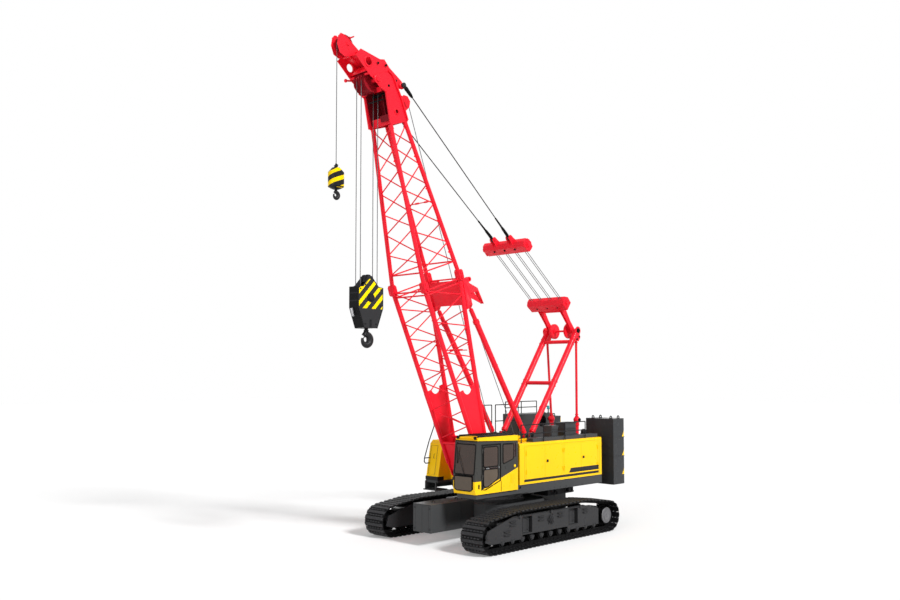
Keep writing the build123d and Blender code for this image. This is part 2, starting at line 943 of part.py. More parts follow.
with BuildPart() as cab_shell:
    plate(side(cab_mid_y), cab_outline, cab_outer_y - cab_inner_y)
    with BuildSketch(side(cab_mid_y)) as inner_room:
        with BuildLine():
            Polyline(*cab_outline, close=True)
        make_face()
        offset(amount=-cab_wall)
    extrude(
        inner_room.sketch,
        amount=(cab_outer_y - cab_inner_y) / 2 - cab_wall,
        both=True,
        mode=Mode.SUBTRACT,
    )
    # door opening
    plate(
        side(cab_outer_y),
        cab_door_outline,
        3 * cab_wall,
        mode=Mode.SUBTRACT,
    )
    # front windows, upper and lower
    for low, high in front_windows:
        block(
            cab_front - cab_rake - 2 * cab_wall,
            cab_front + 10,
            cab_inner_y + cab_rail,
            cab_outer_y - cab_rail,
            low,
            high,
            mode=Mode.SUBTRACT,
        )
    # rear quarter window with its slanted foot, left, and the plain one, right
    plate(side(cab_outer_y), quarter_window, 3 * cab_wall, mode=Mode.SUBTRACT)
    plate(side(cab_inner_y), right_window, 3 * cab_wall, mode=Mode.SUBTRACT)
    # roof window
    block(
        roof_window_rear,
        roof_window_front,
        cab_inner_y + roof_window_side,
        cab_outer_y - roof_window_side,
        cab_roof - 2 * cab_wall,
        cab_roof + 1,
        mode=Mode.SUBTRACT,
    )
    for z in cab_hinge_heights:
        knuckle(
            cab_hinge_x,
            cab_hinge_y,
            z,
            z + hinge_length,
            cab_hinge_x + 20,
            cab_outer_y,
        )
finish(cab_shell, "cab_shell")

pane_depth = cab_wall / 2
with BuildPart() as cab_glass:
    for low, high in front_windows:
        low_x = front_face(low + seat_gap) - pane_depth
        high_x = front_face(high - seat_gap) - pane_depth
        plate(
            side(cab_mid_y),
            [
                (low_x - glass_thickness, low + seat_gap),
                (low_x, low + seat_gap),
                (high_x, high - seat_gap),
                (high_x - glass_thickness, high - seat_gap),
            ],
            cab_outer_y - cab_inner_y - 2 * cab_rail - 2 * seat_gap,
        )
    pane(side(cab_outer_y - pane_depth), quarter_window)
    pane(side(cab_inner_y + pane_depth), right_window)
    pane(
        Plane.XY.offset(cab_roof - pane_depth),
        [
            (roof_window_rear, cab_inner_y + roof_window_side),
            (roof_window_front, cab_inner_y + roof_window_side),
            (roof_window_front, cab_outer_y - roof_window_side),
            (roof_window_rear, cab_outer_y - roof_window_side),
        ],
    )
finish(cab_glass, "cab_glass")

# Windows in the door: columns low and high.
door_windows = [(cab_bottom + 420, cab_bottom + 760), (cab_bottom + 840, cab_roof - 300)]
with BuildPart() as cab_door:
    with BuildSketch(side(cab_outer_y - cab_wall / 2)) as leaf:
        with BuildLine():
            Polyline(*cab_door_outline, close=True)
        make_face()
        offset(amount=-door_gap)
    extrude(leaf.sketch, amount=cab_wall / 2, both=True)
    for low, high in door_windows:
        block(
            cab_door_rear + 90,
            cab_door_front - 90,
            cab_outer_y - 2 * cab_wall,
            cab_outer_y + 1,
            low,
            high,
            mode=Mode.SUBTRACT,
        )
    for z in cab_hinge_heights:
        strap_bottom = z + hinge_length + seat_gap
        knuckle(
            cab_hinge_x,
            cab_hinge_y,
            strap_bottom,
            z + 2 * hinge_length,
            cab_door_front - 60,
            cab_outer_y + 2,
        )
        block(
            cab_door_front - 60,
            cab_door_front - door_gap,
            cab_outer_y - 5,
            cab_hinge_y,
            strap_bottom,
            z + 2 * hinge_length,
        )
finish(cab_door, "cab_door")

with BuildPart() as cab_door_glass:
    for low, high in door_windows:
        block(
            cab_door_rear + 90 + seat_gap,
            cab_door_front - 90 - seat_gap,
            cab_outer_y - cab_wall / 2 - glass_thickness / 2,
            cab_outer_y - cab_wall / 2 + glass_thickness / 2,
            low + seat_gap,
            high - seat_gap,
        )
finish(cab_door_glass, "cab_door_glass")

seat_x = cab_rear + 650
with BuildPart() as cab_seat:
    plate(
        side(cab_mid_y),
        [
            (seat_x - 240, cab_bottom + cab_wall + seat_gap),
            (seat_x + 260, cab_bottom + cab_wall + seat_gap),
            (seat_x + 300, cab_bottom + 560),
            (seat_x - 160, cab_bottom + 540),
            (seat_x - 330, cab_bottom + 1230),
            (seat_x - 450, cab_bottom + 1200),
            (seat_x - 270, cab_bottom + 420),
        ],
        480,
    )
finish(cab_seat, "cab_seat")

with BuildPart() as roof_guard:
    for y in (cab_inner_y + 60, cab_outer_y - 60):
        block(
            cab_rear + 150,
            cab_front - 190,
            y - 15,
            y + 15,
            cab_roof + seat_gap,
            cab_roof + 60,
        )
    for index in range(12):
        x = cab_rear + 180 + index * 135
        block(x - 8, x + 8, cab_inner_y + 60, cab_outer_y - 60, cab_roof + 40, cab_roof + 60)
finish(roof_guard, "roof_guard")

# ------------------------------------------------------------------ counterweight
weight_rear = weight_front - weight_length
with BuildPart() as counterweight_tray:
    with BuildSketch(Plane.XY.offset(tray_bottom)) as footprint:
        with Locations(((weight_front + weight_rear) / 2, 0)):
            Rectangle(weight_length, 2 * weight_half_width)
        fillet(footprint.vertices().group_by(Axis.X)[0], 160)
    extrude(amount=tray_top - tray_bottom)
finish(counterweight_tray, "counterweight_tray")

# Stacks on the tray: columns name, side, inner face.
stacks = [
    ("counterweight_left", 1, weight_inner_y),
    ("counterweight_right", -1, weight_right_inner_y),
]
for name, sign, inner_y in stacks:
    with BuildPart() as stack:
        with BuildSketch(Plane.XY.offset(tray_top)) as footprint:
            with Locations(
                ((weight_front + weight_rear) / 2, sign * (inner_y + weight_half_width) / 2)
            ):
                Rectangle(weight_length, weight_half_width - inner_y)
            outer_rear = footprint.vertices().group_by(Axis.X)[0].sort_by(Axis.Y)
            fillet(outer_rear[-1 if sign > 0 else 0], 160)
        extrude(amount=weight_top - tray_top)
    finish(stack, name)

# ------------------------------------------------------------------ winches
# Drums between the girders: columns name, x, z, radius over the wound rope, flange radius
drum_half_width = girder_y - 15 - seat_gap
drums = [
    ("main_drum", -60, deck_top + 370, 290, 330),
    ("aux_drum", -1690, deck_top + 370, 290, 330),
    ("luffing_drum", -2500, deck_top + 370, 250, 290),
]
for name, x, z, radius, flange in drums:
    with BuildPart() as drum:
        pin(x, z, -drum_half_width + 40, drum_half_width - 40, radius)
        pin(x, z, -drum_half_width + 70, drum_half_width - 70, radius - 75, mode=Mode.SUBTRACT)
        pin(x, z, -drum_half_width + 40, -drum_half_width + 70, flange)
        pin(x, z, drum_half_width - 70, drum_half_width - 40, flange)
        pin(x, z, -drum_half_width, drum_half_width, 60)
    finish(drum, name)

# ------------------------------------------------------------------ handrails
rail_radius = 17
rail_y = deck_half_width - 60
loop_y = house_inner_y + 30
# Rails on the roofs: columns front, rear, y, foot, height
rails = [
    (500, -2850, rail_y, house_roof, 560),
    (150, -790, -loop_y, house_roof, 1100),
    (-980, -2180, -loop_y, house_roof, 1100),
    (-2320, -4080, -rail_y, hood_top, 420),
]
# The grab rail beside the right house's ladder, top to foot: columns X, Z.
ladder_rail = [(1340, 3950), (1250, 3440), (1470, 2990), (1690, 2420), (1700, 2300), (1640, 2250)]


def right_face(z):
    # the raked front of the right house at a height
    rise = (z - deck_top) / (house_roof - 110 - deck_top)
    return right_house_front + (right_house_top_front - right_house_front) * rise


with BuildPart() as handrails:
    for front, rear, y, foot, height in rails:
        bar((front, y, foot + height), (rear, y, foot + height), rail_radius)
        bar((front, y, foot + height / 2), (rear, y, foot + height / 2), rail_radius)
        posts = max(2, round((front - rear) / 1000) + 1)
        for index in range(posts):
            x = front + (rear - front) * index / (posts - 1)
            bar((x, y, foot + seat_gap), (x, y, foot + height), rail_radius)
    # the ladder's long rail, held off the raked face by two stubs
    for start, end in zip(ladder_rail, ladder_rail[1:]):
        bar((start[0], -rail_y, start[1]), (end[0], -rail_y, end[1]), rail_radius)
    for x, z in ladder_rail[1:-1]:
        with Locations((x, -rail_y, z)):
            Sphere(rail_radius)
    for x, z in (ladder_rail[3], ladder_rail[-1]):
        bar((x, -rail_y, z), (right_face(z) + 4, -rail_y, z), rail_radius)
finish(handrails, "handrails")

# ------------------------------------------------------------------ gantry
top_x, top_y, top_z = gantry_top
with BuildPart() as gantry_legs:
    for sign in (1, -1):
        foot = mirror_y(gantry_foot, sign)
        top = mirror_y(gantry_top, sign)
        reach = (top - foot).normalized()
        bar(foot + reach * foot_neck, top, gantry_leg_radius)
        bar(foot, foot + reach * (foot_neck + 20), 42)
        pin(foot.X, foot.Z, foot.Y - 45, foot.Y + 45, 85)
        pin(
            foot.X,
            foot.Z,
            foot.Y - 50,
            foot.Y + 50,
            bracket_pin_radius + seat_gap,
            mode=Mode.SUBTRACT,
        )
        plate(
            side(sign * top_y),
            [
                (top_x + 190, top_z - 330),
                (top_x + 110, top_z + 90),
                (top_x - 60, top_z + 130),
                (top_x - 150, top_z - 200),
                (top_x - 60, top_z - 330),
            ],
            150,
        )
    for share in (0.49, 0.9):
        left = mirror_y(gantry_foot, 1) * (1 - share) + mirror_y(gantry_top, 1) * share
        right = mirror_y(left, -1)
        bar(right, left, 65)
    pin(top_x, top_z + 40, -top_y, top_y, bracket_pin_radius)
    # rope sheaves of the luffing winch on the same shaft, inside the bail's arms
    for y in (gantry_sheave_y, -gantry_sheave_y):
        pin(top_x, top_z + 40, y - sheave_width / 2, y + sheave_width / 2, gantry_sheave_radius)
        pin(top_x, top_z + 40, y - sheave_width, y + sheave_width, gantry_sheave_radius * 0.35)
finish(gantry_legs, "gantry_legs")

with BuildPart() as gantry_struts:
    for sign in (1, -1):
        fork = mirror_y(strut_fork, sign)
        top = Vector(top_x, sign * top_y, top_z - 333)
        bar((fork.X, fork.Y, deck_top + seat_gap), fork, 72)
        bar(fork, top, 42)
        with Locations(fork):
            Sphere(120)
finish(gantry_struts, "gantry_struts")

# ------------------------------------------------------------------ bail and luffing tackle
pendant_pin = on_boom(pendant_n, 0, pendant_t)
rope_run = Vector(pendant_pin.X - bail_sheave_x, 0, pendant_pin.Z - bail_sheave_z)
rope_dir = rope_run.normalized()
rope_up = Vector(-rope_dir.Z, 0, rope_dir.X)
bail_point = Vector(bail_sheave_x, 0, bail_sheave_z)


def on_rope(along, up, y):
    return bail_point + rope_dir * along + rope_up * up + Vector(0, y, 0)


def rope_side(y):
    # a sketch plane along the luffing ropes: x along them, y square to them
    return Plane(origin=bail_point + Vector(0, y, 0), x_dir=rope_dir, z_dir=(0, -1, 0))


bail_front = 220
spreader_rear = 210
with BuildPart() as gantry_bail:
    with BuildSketch(rope_side(0)) as section:
        with BuildLine():
            Polyline(
                (-200, -170),
                (120, -190),
                (bail_front, -60),
                (bail_front, 90),
                (60, 200),
                (-180, 160),
                close=True,
            )
        make_face()
    extrude(section.sketch, amount=bail_half_width, both=True)
    for sign in (1, -1):
        foot = Vector(top_x, sign * bail_arm_y, top_z + 40)
        head = Vector(bail_sheave_x - 60, sign * bail_arm_y, bail_sheave_z - 60)
        bar(foot, head, bail_arm_radius)
        pin(foot.X, foot.Z, foot.Y - 35, foot.Y + 35, 90)
        pin(
            foot.X,
            foot.Z,
            foot.Y - 2 * bail_arm_radius,
            foot.Y + 2 * bail_arm_radius,
            bracket_pin_radius + seat_gap,
            mode=Mode.SUBTRACT,
        )
finish(gantry_bail, "gantry_bail")

with BuildPart() as spreader:
    with BuildSketch(rope_side(0)) as section:
        with BuildLine():
            Polyline(
                (luffing_rope_length - spreader_rear, -110),
                (luffing_rope_length + 120, -190),
                (luffing_rope_length + 230, -60),
                (luffing_rope_length + 230, 80),
                (luffing_rope_length + 60, 190),
                (luffing_rope_length - spreader_rear, 130),
                close=True,
            )
        make_face()
    extrude(section.sketch, amount=spreader_half_width, both=True)
    for sign in (1, -1):
        for y in (pendant_foot_y - 52, pendant_foot_y + 52):
            plate(
                rope_side(sign * y),
                [
                    (luffing_rope_length + 200, -70),
                    (luffing_rope_length + 470, -70),
                    (luffing_rope_length + 470, 70),
                    (luffing_rope_length + 200, 70),
                ],
                24,
            )
        eye = on_rope(luffing_rope_length + 400, 0, sign * pendant_foot_y)
        pin(eye.X, eye.Z, eye.Y - 70, eye.Y + 70, pendant_pin_radius)
finish(spreader, "spreader")

with BuildPart() as luffing_ropes:
    for index in range(4):
        for step in (-0.5, 0.5):
            y = (index - 1.5) * luffing_rope_pitch + step * luffing_rope_step
            bar(
                on_rope(bail_front + seat_gap, 0, y),
                on_rope(luffing_rope_length - spreader_rear - seat_gap, 0, y),
                rope_radius,
            )
finish(luffing_ropes, "luffing_ropes")

with BuildPart() as pendants:
    for sign in (1, -1):
        low = on_rope(luffing_rope_length + 400, 0, sign * pendant_foot_y)
        high = Vector(pendant_pin.X, sign * pendant_head_y, pendant_pin.Z)
        reach = (high - low).normalized()
        bar(low + reach * 60, high - reach * 60, pendant_radius)
        bar(low + reach * 60, low + reach * 420, pendant_sleeve_radius)
        bar(high - reach * 420, high - reach * 60, pendant_sleeve_radius)
        for point in (low, high):
            eye_low, eye_high = point.Y - pendant_eye_half, point.Y + pendant_eye_half
            pin(point.X, point.Z, eye_low, eye_high, pendant_eye_radius)
        pin(
            low.X,
            low.Z,
            low.Y - 2 * pendant_eye_half,
            low.Y + 2 * pendant_eye_half,
            pendant_pin_radius + seat_gap,
            mode=Mode.SUBTRACT,
        )
        # the pin's head at the boom, on the outer side
        head_low, head_high = sorted((high.Y, high.Y + sign * (pendant_eye_half + 22)))
        pin(high.X, high.Z, head_low, head_high, pendant_pin_radius + 8)
finish(pendants, "pendants")

# ------------------------------------------------------------------ boom
def chord_point(section, n_sign, y_sign, t):
    # the chord's axis at a distance along the boom, in the crane's frame
    t1, depth1, width1, t2, depth2, width2 = section
    share = (t - t1) / (t2 - t1)
    depth = depth1 + (depth2 - depth1) * share
    width = width1 + (width2 - width1) * share
    return on_boom(n_sign * depth, y_sign * width, t)


# Boom sections: t, half depth and half width at the lower end, then at the upper.
base_section = (0, foot_eye_radius - 10, boom_half_width, joint_t, joint_half_depth, boom_half_width)
top_section = (joint_t, joint_half_depth, boom_half_width, head_t, head_half_depth, head_half_width)


def lacing(section, chord_size, start_chord, end_chord, t_start, t_end):
    # a lacing bar whose ends stop just clear of both chords
    start = chord_point(section, *start_chord, t_start)
    end = chord_point(section, *end_chord, t_end)
    run = end - start
    direction = run.normalized()
    cuts = []
    for chord in (start_chord, end_chord):
        axis = (
            chord_point(section, *chord, section[3]) - chord_point(section, *chord, section[0])
        ).normalized()
        slope = abs(axis.dot(direction))
        sine = (1 - slope**2) ** 0.5
        cuts.append((chord_size + 1.5 * seat_gap + lacing_radius * slope) / sine)
    bar(start + direction * cuts[0], end - direction * cuts[1], lacing_radius)


# The four faces of a section, each between two chords: signs of n and y.
boom_faces = [
    ((1, 1), (1, -1)),
    ((-1, -1), (-1, 1)),
    ((1, -1), (-1, -1)),
    ((-1, 1), (1, 1)),
]


def chord_lug(half_depth, half_width, t_from, t_to, radius):
    # the four round lugs at a section's end, straight along the boom
    for n_sign in (1, -1):
        for sign in (1, -1):
            bar(
                on_boom(n_sign * half_depth, sign * half_width, t_from),
                on_boom(n_sign * half_depth, sign * half_width, t_to),
                radius,
            )


def face_lacing(section, chord_size, face, stations):
    # a zigzag between two chords through the stations along the boom
    for index, (t_start, t_end) in enumerate(zip(stations, stations[1:])):
        first, second = face if index % 2 == 0 else face[::-1]
        lacing(section, chord_size, first, second, t_start + 60, t_end - 60)


base_lacing_start = 1500
base_bays = 8
top_bays = 10
base_stations = [
    base_lacing_start + (joint_t - 320 - base_lacing_start) * i / base_bays
    for i in range(base_bays + 1)
]
# the rear face's lacing ends below the panel at the joint
panel_from = 5600
panel_to = 6380
rear_bays = 7
rear_stations = [
    base_lacing_start + (panel_from - 20 - base_lacing_start) * i / rear_bays
    for i in range(rear_bays + 1)
]
side_start = foot_plate_top + 120
side_bays = 5
side_stations = [
    side_start + (joint_t - 320 - side_start) * i / side_bays for i in range(side_bays + 1)
]
top_stations = [
    joint_t + 320 + (head_t - 60 - joint_t - 320) * i / top_bays for i in range(top_bays + 1)
]

with BuildPart() as boom_base_sides:
    for sign in (1, -1):
        y = sign * boom_half_width
        for n_sign in (1, -1):
            bar(
                chord_point(base_section, n_sign, sign, chord_start),
                chord_point(base_section, n_sign, sign, joint_t - joint_lug_length / 2),
                chord_radius,
            )
        with BuildSketch(boom_side(y)) as web:
            with BuildLine():
                Polyline(
                    (-foot_eye_radius + 8, 0),
                    (foot_eye_radius - 8, 0),
                    (430, foot_plate_top),
                    (150, foot_plate_top),
                    (-150, foot_plate_top),
                    (-430, foot_plate_top),
                    close=True,
                )
            make_face()
            # the notch in the web's upper end
            with Locations((0, foot_plate_top)):
                Circle(190, mode=Mode.SUBTRACT)
        extrude(web.sketch, amount=foot_plate_thickness / 2, both=True)
        pin(foot_x, foot_z, y - foot_eye_width / 2, y + foot_eye_width / 2, foot_eye_radius)
        pin(
            foot_x,
            foot_z,
            y - foot_eye_width,
            y + foot_eye_width,
            foot_pin_radius + seat_gap,
            mode=Mode.SUBTRACT,
        )
    chord_lug(
        joint_half_depth,
        boom_half_width,
        joint_t - joint_lug_length,
        joint_t - seat_gap,
        joint_lug_radius,
    )
finish(boom_base_sides, "boom_base_sides")

with BuildPart() as boom_base_lacing:
    face_lacing(base_section, chord_radius, boom_faces[0], base_stations)
    face_lacing(base_section, chord_radius, boom_faces[1], rear_stations)
    face_lacing(base_section, chord_radius, boom_faces[2], side_stations)
    face_lacing(base_section, chord_radius, boom_faces[3], side_stations)
finish(boom_base_lacing, "boom_base_lacing")

# rear panel at the joint with the backstops' lugs and the guard horns
eye_half = 42  # half the width of a backstop's eye
lug_plate = 24
lug_inner = eye_half + running_gap
panel_y = boom_half_width - chord_radius - seat_gap
seat_depth = (chord_radius**2 - lug_inner**2) ** 0.5 + 2 * seat_gap


def behind_chord(t):
    # where a lug plate bears on the rear chord at a distance along the boom
    lower, upper = base_section[1], base_section[4]
    return -(lower + (upper - lower) * t / joint_t) - seat_depth


# The guard horn behind the backstop's eye: columns n, t.
horn_outline = [(-1010, 5880), (-1340, 5870), (-1500, 5420), (-1380, 5960), (-1060, 6200)]
ring_lug_n = -1110
ring_lug_t = 6310
ring_lug_radius = 75
with BuildPart() as boom_joint_bracket:
    with BuildSketch(
        Plane(
            origin=on_boom(behind_chord((panel_from + panel_to) / 2) + seat_depth, 0, panel_from),
            x_dir=(0, 1, 0),
            z_dir=boom_front,
        )
    ) as panel:
        with Locations((0, -(panel_to - panel_from) / 2)):
            Rectangle(2 * panel_y, panel_to - panel_from)
    extrude(panel.sketch, amount=15, both=True)
    for sign in (1, -1):
        for offset_y in (-lug_inner - lug_plate / 2, lug_inner + lug_plate / 2):
            plate(
                boom_side(sign * (boom_half_width + offset_y)),
                [
                    (behind_chord(panel_to), panel_to),
                    (behind_chord(backstop_eye_t - 110), backstop_eye_t - 110),
                    (backstop_eye_n - 30, backstop_eye_t - 95),
                    (backstop_eye_n - 95, backstop_eye_t - 30),
                    (backstop_eye_n - 95, backstop_eye_t + 70),
                    *horn_outline,
                    (-1060, panel_to),
                ],
                lug_plate,
            )
        plate(boom_side(sign * boom_half_width), [*horn_outline, (-1010, 6200)], 2 * lug_inner)
        ring = on_boom(ring_lug_n, sign * boom_half_width, ring_lug_t)
        ring_half = lug_inner + lug_plate
        pin(ring.X, ring.Z, ring.Y - ring_half, ring.Y + ring_half, ring_lug_radius)
        pin(
            ring.X,
            ring.Z,
            ring.Y - 2 * ring_half,
            ring.Y + 2 * ring_half,
            ring_lug_radius - 40,
            mode=Mode.SUBTRACT,
        )
        # pin heads outside the lugs; between them the rod's eye moves free
        eye = on_boom(backstop_eye_n, sign * boom_half_width, backstop_eye_t)
        lug_outer = lug_inner + lug_plate
        pin(eye.X, eye.Z, eye.Y + lug_outer - 1, eye.Y + lug_outer + 14, backstop_pin_radius)
        pin(eye.X, eye.Z, eye.Y - lug_outer - 14, eye.Y - lug_outer + 1, backstop_pin_radius)
finish(boom_joint_bracket, "boom_joint_bracket")

with BuildPart() as boom_top_chords:
    for sign in (1, -1):
        for n_sign in (1, -1):
            bar(
                chord_point(top_section, n_sign, sign, joint_t + joint_lug_length / 2),
                chord_point(top_section, n_sign, sign, head_t - head_lug_length / 2),
                top_chord_radius,
            )
    chord_lug(
        joint_half_depth,
        boom_half_width,
        joint_t,
        joint_t + joint_lug_length,
        joint_lug_radius,
    )
    chord_lug(
        head_half_depth,
        head_half_width,
        head_t - head_lug_length,
        head_t - seat_gap,
        top_chord_radius + 8,
    )
finish(boom_top_chords, "boom_top_chords")

with BuildPart() as boom_top_lacing:
    for face in boom_faces:
        face_lacing(top_section, top_chord_radius, face, top_stations)
finish(boom_top_lacing, "boom_top_lacing")

# ------------------------------------------------------------------ boom head
# Outlines of the head's plates: columns n, t.
lower_plate = [
    (-head_half_depth - 70, head_t),
    (head_half_depth + 70, head_t),
    (250, 12300),
    (430, 12440),
    (560, 12640),
    (560, 12760),
    (-120, 12830),
    (-250, 12400),
]
cheek_plate = [
    (1010, 13400),
    (780, 13540),
    (140, 13190),
    (-30, 13170),
    (-150, 12920),
    (-520, 12480),
    (-430, 12280),
    (-150, 12330),
    (300, 12420),
    (640, 12760),
]
# The guide sheaves' bracket plates: columns n, t; the front edge lies in the rear plate.
guide_outline = [
    (-310, 11600),
    (-560, 11640),
    (-760, 11740),
    (-850, 11900),
    (-790, 12060),
    (-640, 12120),
    (-520, 12020),
    (-265, 12010),
]
guide_pin_radius = 30
guide_sheave_half = 26
light_hole_radius = 60
support_arm_root = (560, -cheek_y, 12790)
support_arm_tip = (860, -cheek_y, 12830)
support_arm_radius = 26
aux_centre = on_boom(aux_sheave_n, 0, aux_sheave_t)
main_centre = on_boom(main_sheave_n, 0, main_sheave_t)
with BuildPart() as boom_head:
    for sign in (1, -1):
        plate(boom_side(sign * lower_plate_y), lower_plate, head_plate)
        plate(boom_side(sign * cheek_y), cheek_plate, head_plate)
        hole = on_boom(jib_bore_n, 0, jib_bore_t)
        pin(
            hole.X,
            hole.Z,
            sign * cheek_y - head_plate,
            sign * cheek_y + head_plate,
            jib_bore_radius,
            mode=Mode.SUBTRACT,
        )
        # boss that the pendant's eye bears against
        boss_reach = pendant_head_y - pendant_eye_half - seat_gap
        low, high = sorted((sign * cheek_y, sign * boss_reach))
        pin(pendant_pin.X, pendant_pin.Z, low, high, pendant_eye_radius)
    # rear plate, front plate and the cross plate under the upper sheave
    plate(
        boom_side(0),
        [
            (-head_half_depth - 70, head_t),
            (-head_half_depth - 40, head_t),
            (-220, 12400),
            (-120, 12830),
            (-150, 12840),
            (-250, 12400),
        ],
        2 * lower_plate_y,
    )
    plate(
        boom_side(0),
        [
            (head_half_depth - 90, head_t + 30),
            (head_half_depth - 60, head_t + 30),
            (head_half_depth - 80, head_t + 260),
            (head_half_depth - 110, head_t + 260),
        ],
        2 * lower_plate_y,
    )
    plate(
        boom_side(0),
        [(120, 13060), (640, 13370), (760, 13500), (735, 13520), (620, 13400), (100, 13090)],
        2 * cheek_y - head_plate,
    )
    pin(main_centre.X, main_centre.Z, -lower_plate_y, lower_plate_y, sheave_pin_radius)
    # light holes in the lower plates
    light_hole = on_boom(0, 0, head_t + 330)
    for sign in (1, -1):
        pin(
            light_hole.X,
            light_hole.Z,
            sign * lower_plate_y - head_plate,
            sign * lower_plate_y + head_plate,
            light_hole_radius,
            mode=Mode.SUBTRACT,
        )
    # the jib's support arm on the right, with its end plate
    arm_root, arm_tip = on_boom(*support_arm_root), on_boom(*support_arm_tip)
    bar(arm_root, arm_tip, support_arm_radius)
    bar(arm_tip, arm_tip + (arm_tip - arm_root).normalized() * 30, 2 * support_arm_radius)
    # brackets of the ropes' guide sheaves
    guide = on_boom(guide_sheave_n, 0, guide_sheave_t)
    for sign in (1, -1):
        for offset_y in (-guide_plate_gap, guide_plate_gap):
            plate(boom_side(sign * guide_sheave_y + offset_y), guide_outline, guide_plate)
        middle_y = sign * guide_sheave_y
        half = guide_plate_gap + guide_plate
        pin(guide.X, guide.Z, middle_y - half, middle_y + half, guide_pin_radius)
        pin(
            guide.X,
            guide.Z,
            middle_y - guide_sheave_half,
            middle_y + guide_sheave_half,
            guide_sheave_radius,
        )
    # rooster plates that carry the auxiliary sheave
    for sign in (1, -1):
        plate(
            boom_side(sign * 120),
            [
                (560, 13270),
                (760, 13420),
                (1080, 13440),
                (1230, 13560),
                (1290, 13800),
                (1220, 13980),
                (1090, 14060),
                (640, 13560),
            ],
            20,
        )
    pin(aux_centre.X, aux_centre.Z, -140, 140, 40)
finish(boom_head, "boom_head")

# ------------------------------------------------------------------ sheaves and falls
def sheave(centre, y, radius, bore, width):
    # a grooved rope wheel
    pin(centre.X, centre.Z, y - width / 2, y - rope_radius, radius + 25)
    pin(centre.X, centre.Z, y + rope_radius, y + width / 2, radius + 25)
    pin(centre.X, centre.Z, y - rope_radius - 1, y + rope_radius + 1, radius - rope_radius)
    pin(centre.X, centre.Z, y - width, y + width, bore, mode=Mode.SUBTRACT)


with BuildPart() as main_sheaves:
    for row in main_sheave_rows:
        y = row * main_sheave_spacing / 2
        sheave(main_centre, y, main_sheave_radius, sheave_pin_radius + seat_gap, sheave_width)
    pin(
        main_centre.X,
        main_centre.Z,
        -main_sheave_spacing,
        main_sheave_spacing,
        sheave_pin_radius + 45,
    )
    pin(
        main_centre.X,
        main_centre.Z,
        -main_sheave_spacing - sheave_width,
        main_sheave_spacing + sheave_width,
        sheave_pin_radius + seat_gap,
        mode=Mode.SUBTRACT,
    )
finish(main_sheaves, "main_sheaves")

with BuildPart() as aux_sheave:
    sheave(aux_centre, 0, aux_sheave_radius, 40 + seat_gap, sheave_width)
finish(aux_sheave, "aux_sheave")

block_centre = Vector(main_centre.X, 0, main_centre.Z - block_drop)
# Falls of the main hoist: columns x from the pin, y.
main_falls = [
    (sx * main_sheave_radius, sy * main_sheave_spacing / 2) for sx in (1, -1) for sy in (1, -1)
]
with BuildPart() as main_ropes:
    for x, y in main_falls:
        bar(
            (block_centre.X + x, y, block_centre.Z + 6),
            (block_centre.X + x, y, main_centre.Z - 6),
            rope_radius,
        )
finish(main_ropes, "main_ropes")

# The hook block's side plate, right half from the top down: columns x, z from the sheaves' pin.
block_outline = [(60, 560), (280, 320), (450, 300), (450, -290), (240, -860)]
block_cover = 20  # thickness of its front and rear covers
block_plate = 36
block_lug = [(-110, 460), (-70, 620), (70, 620), (110, 460)]
mirrored_outline = [(-x, z) for x, z in reversed(block_outline)]


def at_block(points):
    return [(block_centre.X + x, block_centre.Z + z) for x, z in points]


with BuildPart() as hook_block:
    for sign in (1, -1):
        plate(
            side(sign * (block_thickness - block_plate) / 2),
            at_block(block_outline + mirrored_outline),
            block_plate,
        )
        # cover between the side plates, in line with their edge
        (x1, z1), (x2, z2), (x3, z3) = block_outline[-3:]
        cover = [(x1, z1), (x2, z2), (x3, z3), (x3 - block_cover, z3), (x2 - block_cover, z2)]
        cover.append((x1 - block_cover, z1))
        plate(side(0), at_block([(sign * x, z) for x, z in cover]), block_thickness)
    # the weight below the sheaves, the rope's dead-end lug above them, and the pin
    low_x, low_z = block_outline[-1]
    block(
        block_centre.X - low_x,
        block_centre.X + low_x,
        -block_thickness / 2,
        block_thickness / 2,
        block_centre.Z + low_z,
        block_centre.Z + low_z + 300,
    )
    plate(side(0), at_block(block_lug), block_thickness - 10)
    pin(block_centre.X, block_centre.Z, -block_thickness / 2 - 30, block_thickness / 2 + 30, 50)
finish(hook_block, "hook_block")

with BuildPart() as block_sheaves:
    for y in (-main_sheave_spacing / 2, main_sheave_spacing / 2):
        sheave(block_centre, y, main_sheave_radius, 50 + seat_gap, sheave_width)
finish(block_sheaves, "block_sheaves")


def hook_at(centre_x, top_z, size, shank):
    # a single hook: a shank down to a bowl that opens to the front below the tip
    bar((centre_x, 0, top_z), (centre_x, 0, top_z - shank), size * 0.15)
    bowl_z = top_z - shank - size * 0.5
    with BuildSketch(Plane.XZ.shift_origin((centre_x, 0, bowl_z))) as body:
        Circle(size * 0.5)
        with BuildLine():
            Polyline(
                (-size * 0.15, size * 0.62),
                (size * 0.15, size * 0.62),
                (size * 0.3, size * 0.35),
                (-size * 0.35, size * 0.35),
                close=True,
            )
        make_face()
        with Locations((size * 0.06, size * 0.04)):
            Ellipse(size * 0.2, size * 0.27, mode=Mode.SUBTRACT)
        with BuildLine():
            Polyline(
                (size * 0.1, size * 0.02),
                (size * 0.75, size * 0.2),
                (size * 0.75, size * 0.62),
                (size * 0.22, size * 0.36),
                (size * 0.12, size * 0.25),
                close=True,
            )
        make_face(mode=Mode.SUBTRACT)
    extrude(body.sketch, amount=size * 0.16, both=True)


hook_top = block_centre.Z + block_outline[-1][1]
with BuildPart() as main_hook:
    hook_at(block_centre.X, hook_top - seat_gap, 420, 120)
finish(main_hook, "main_hook")

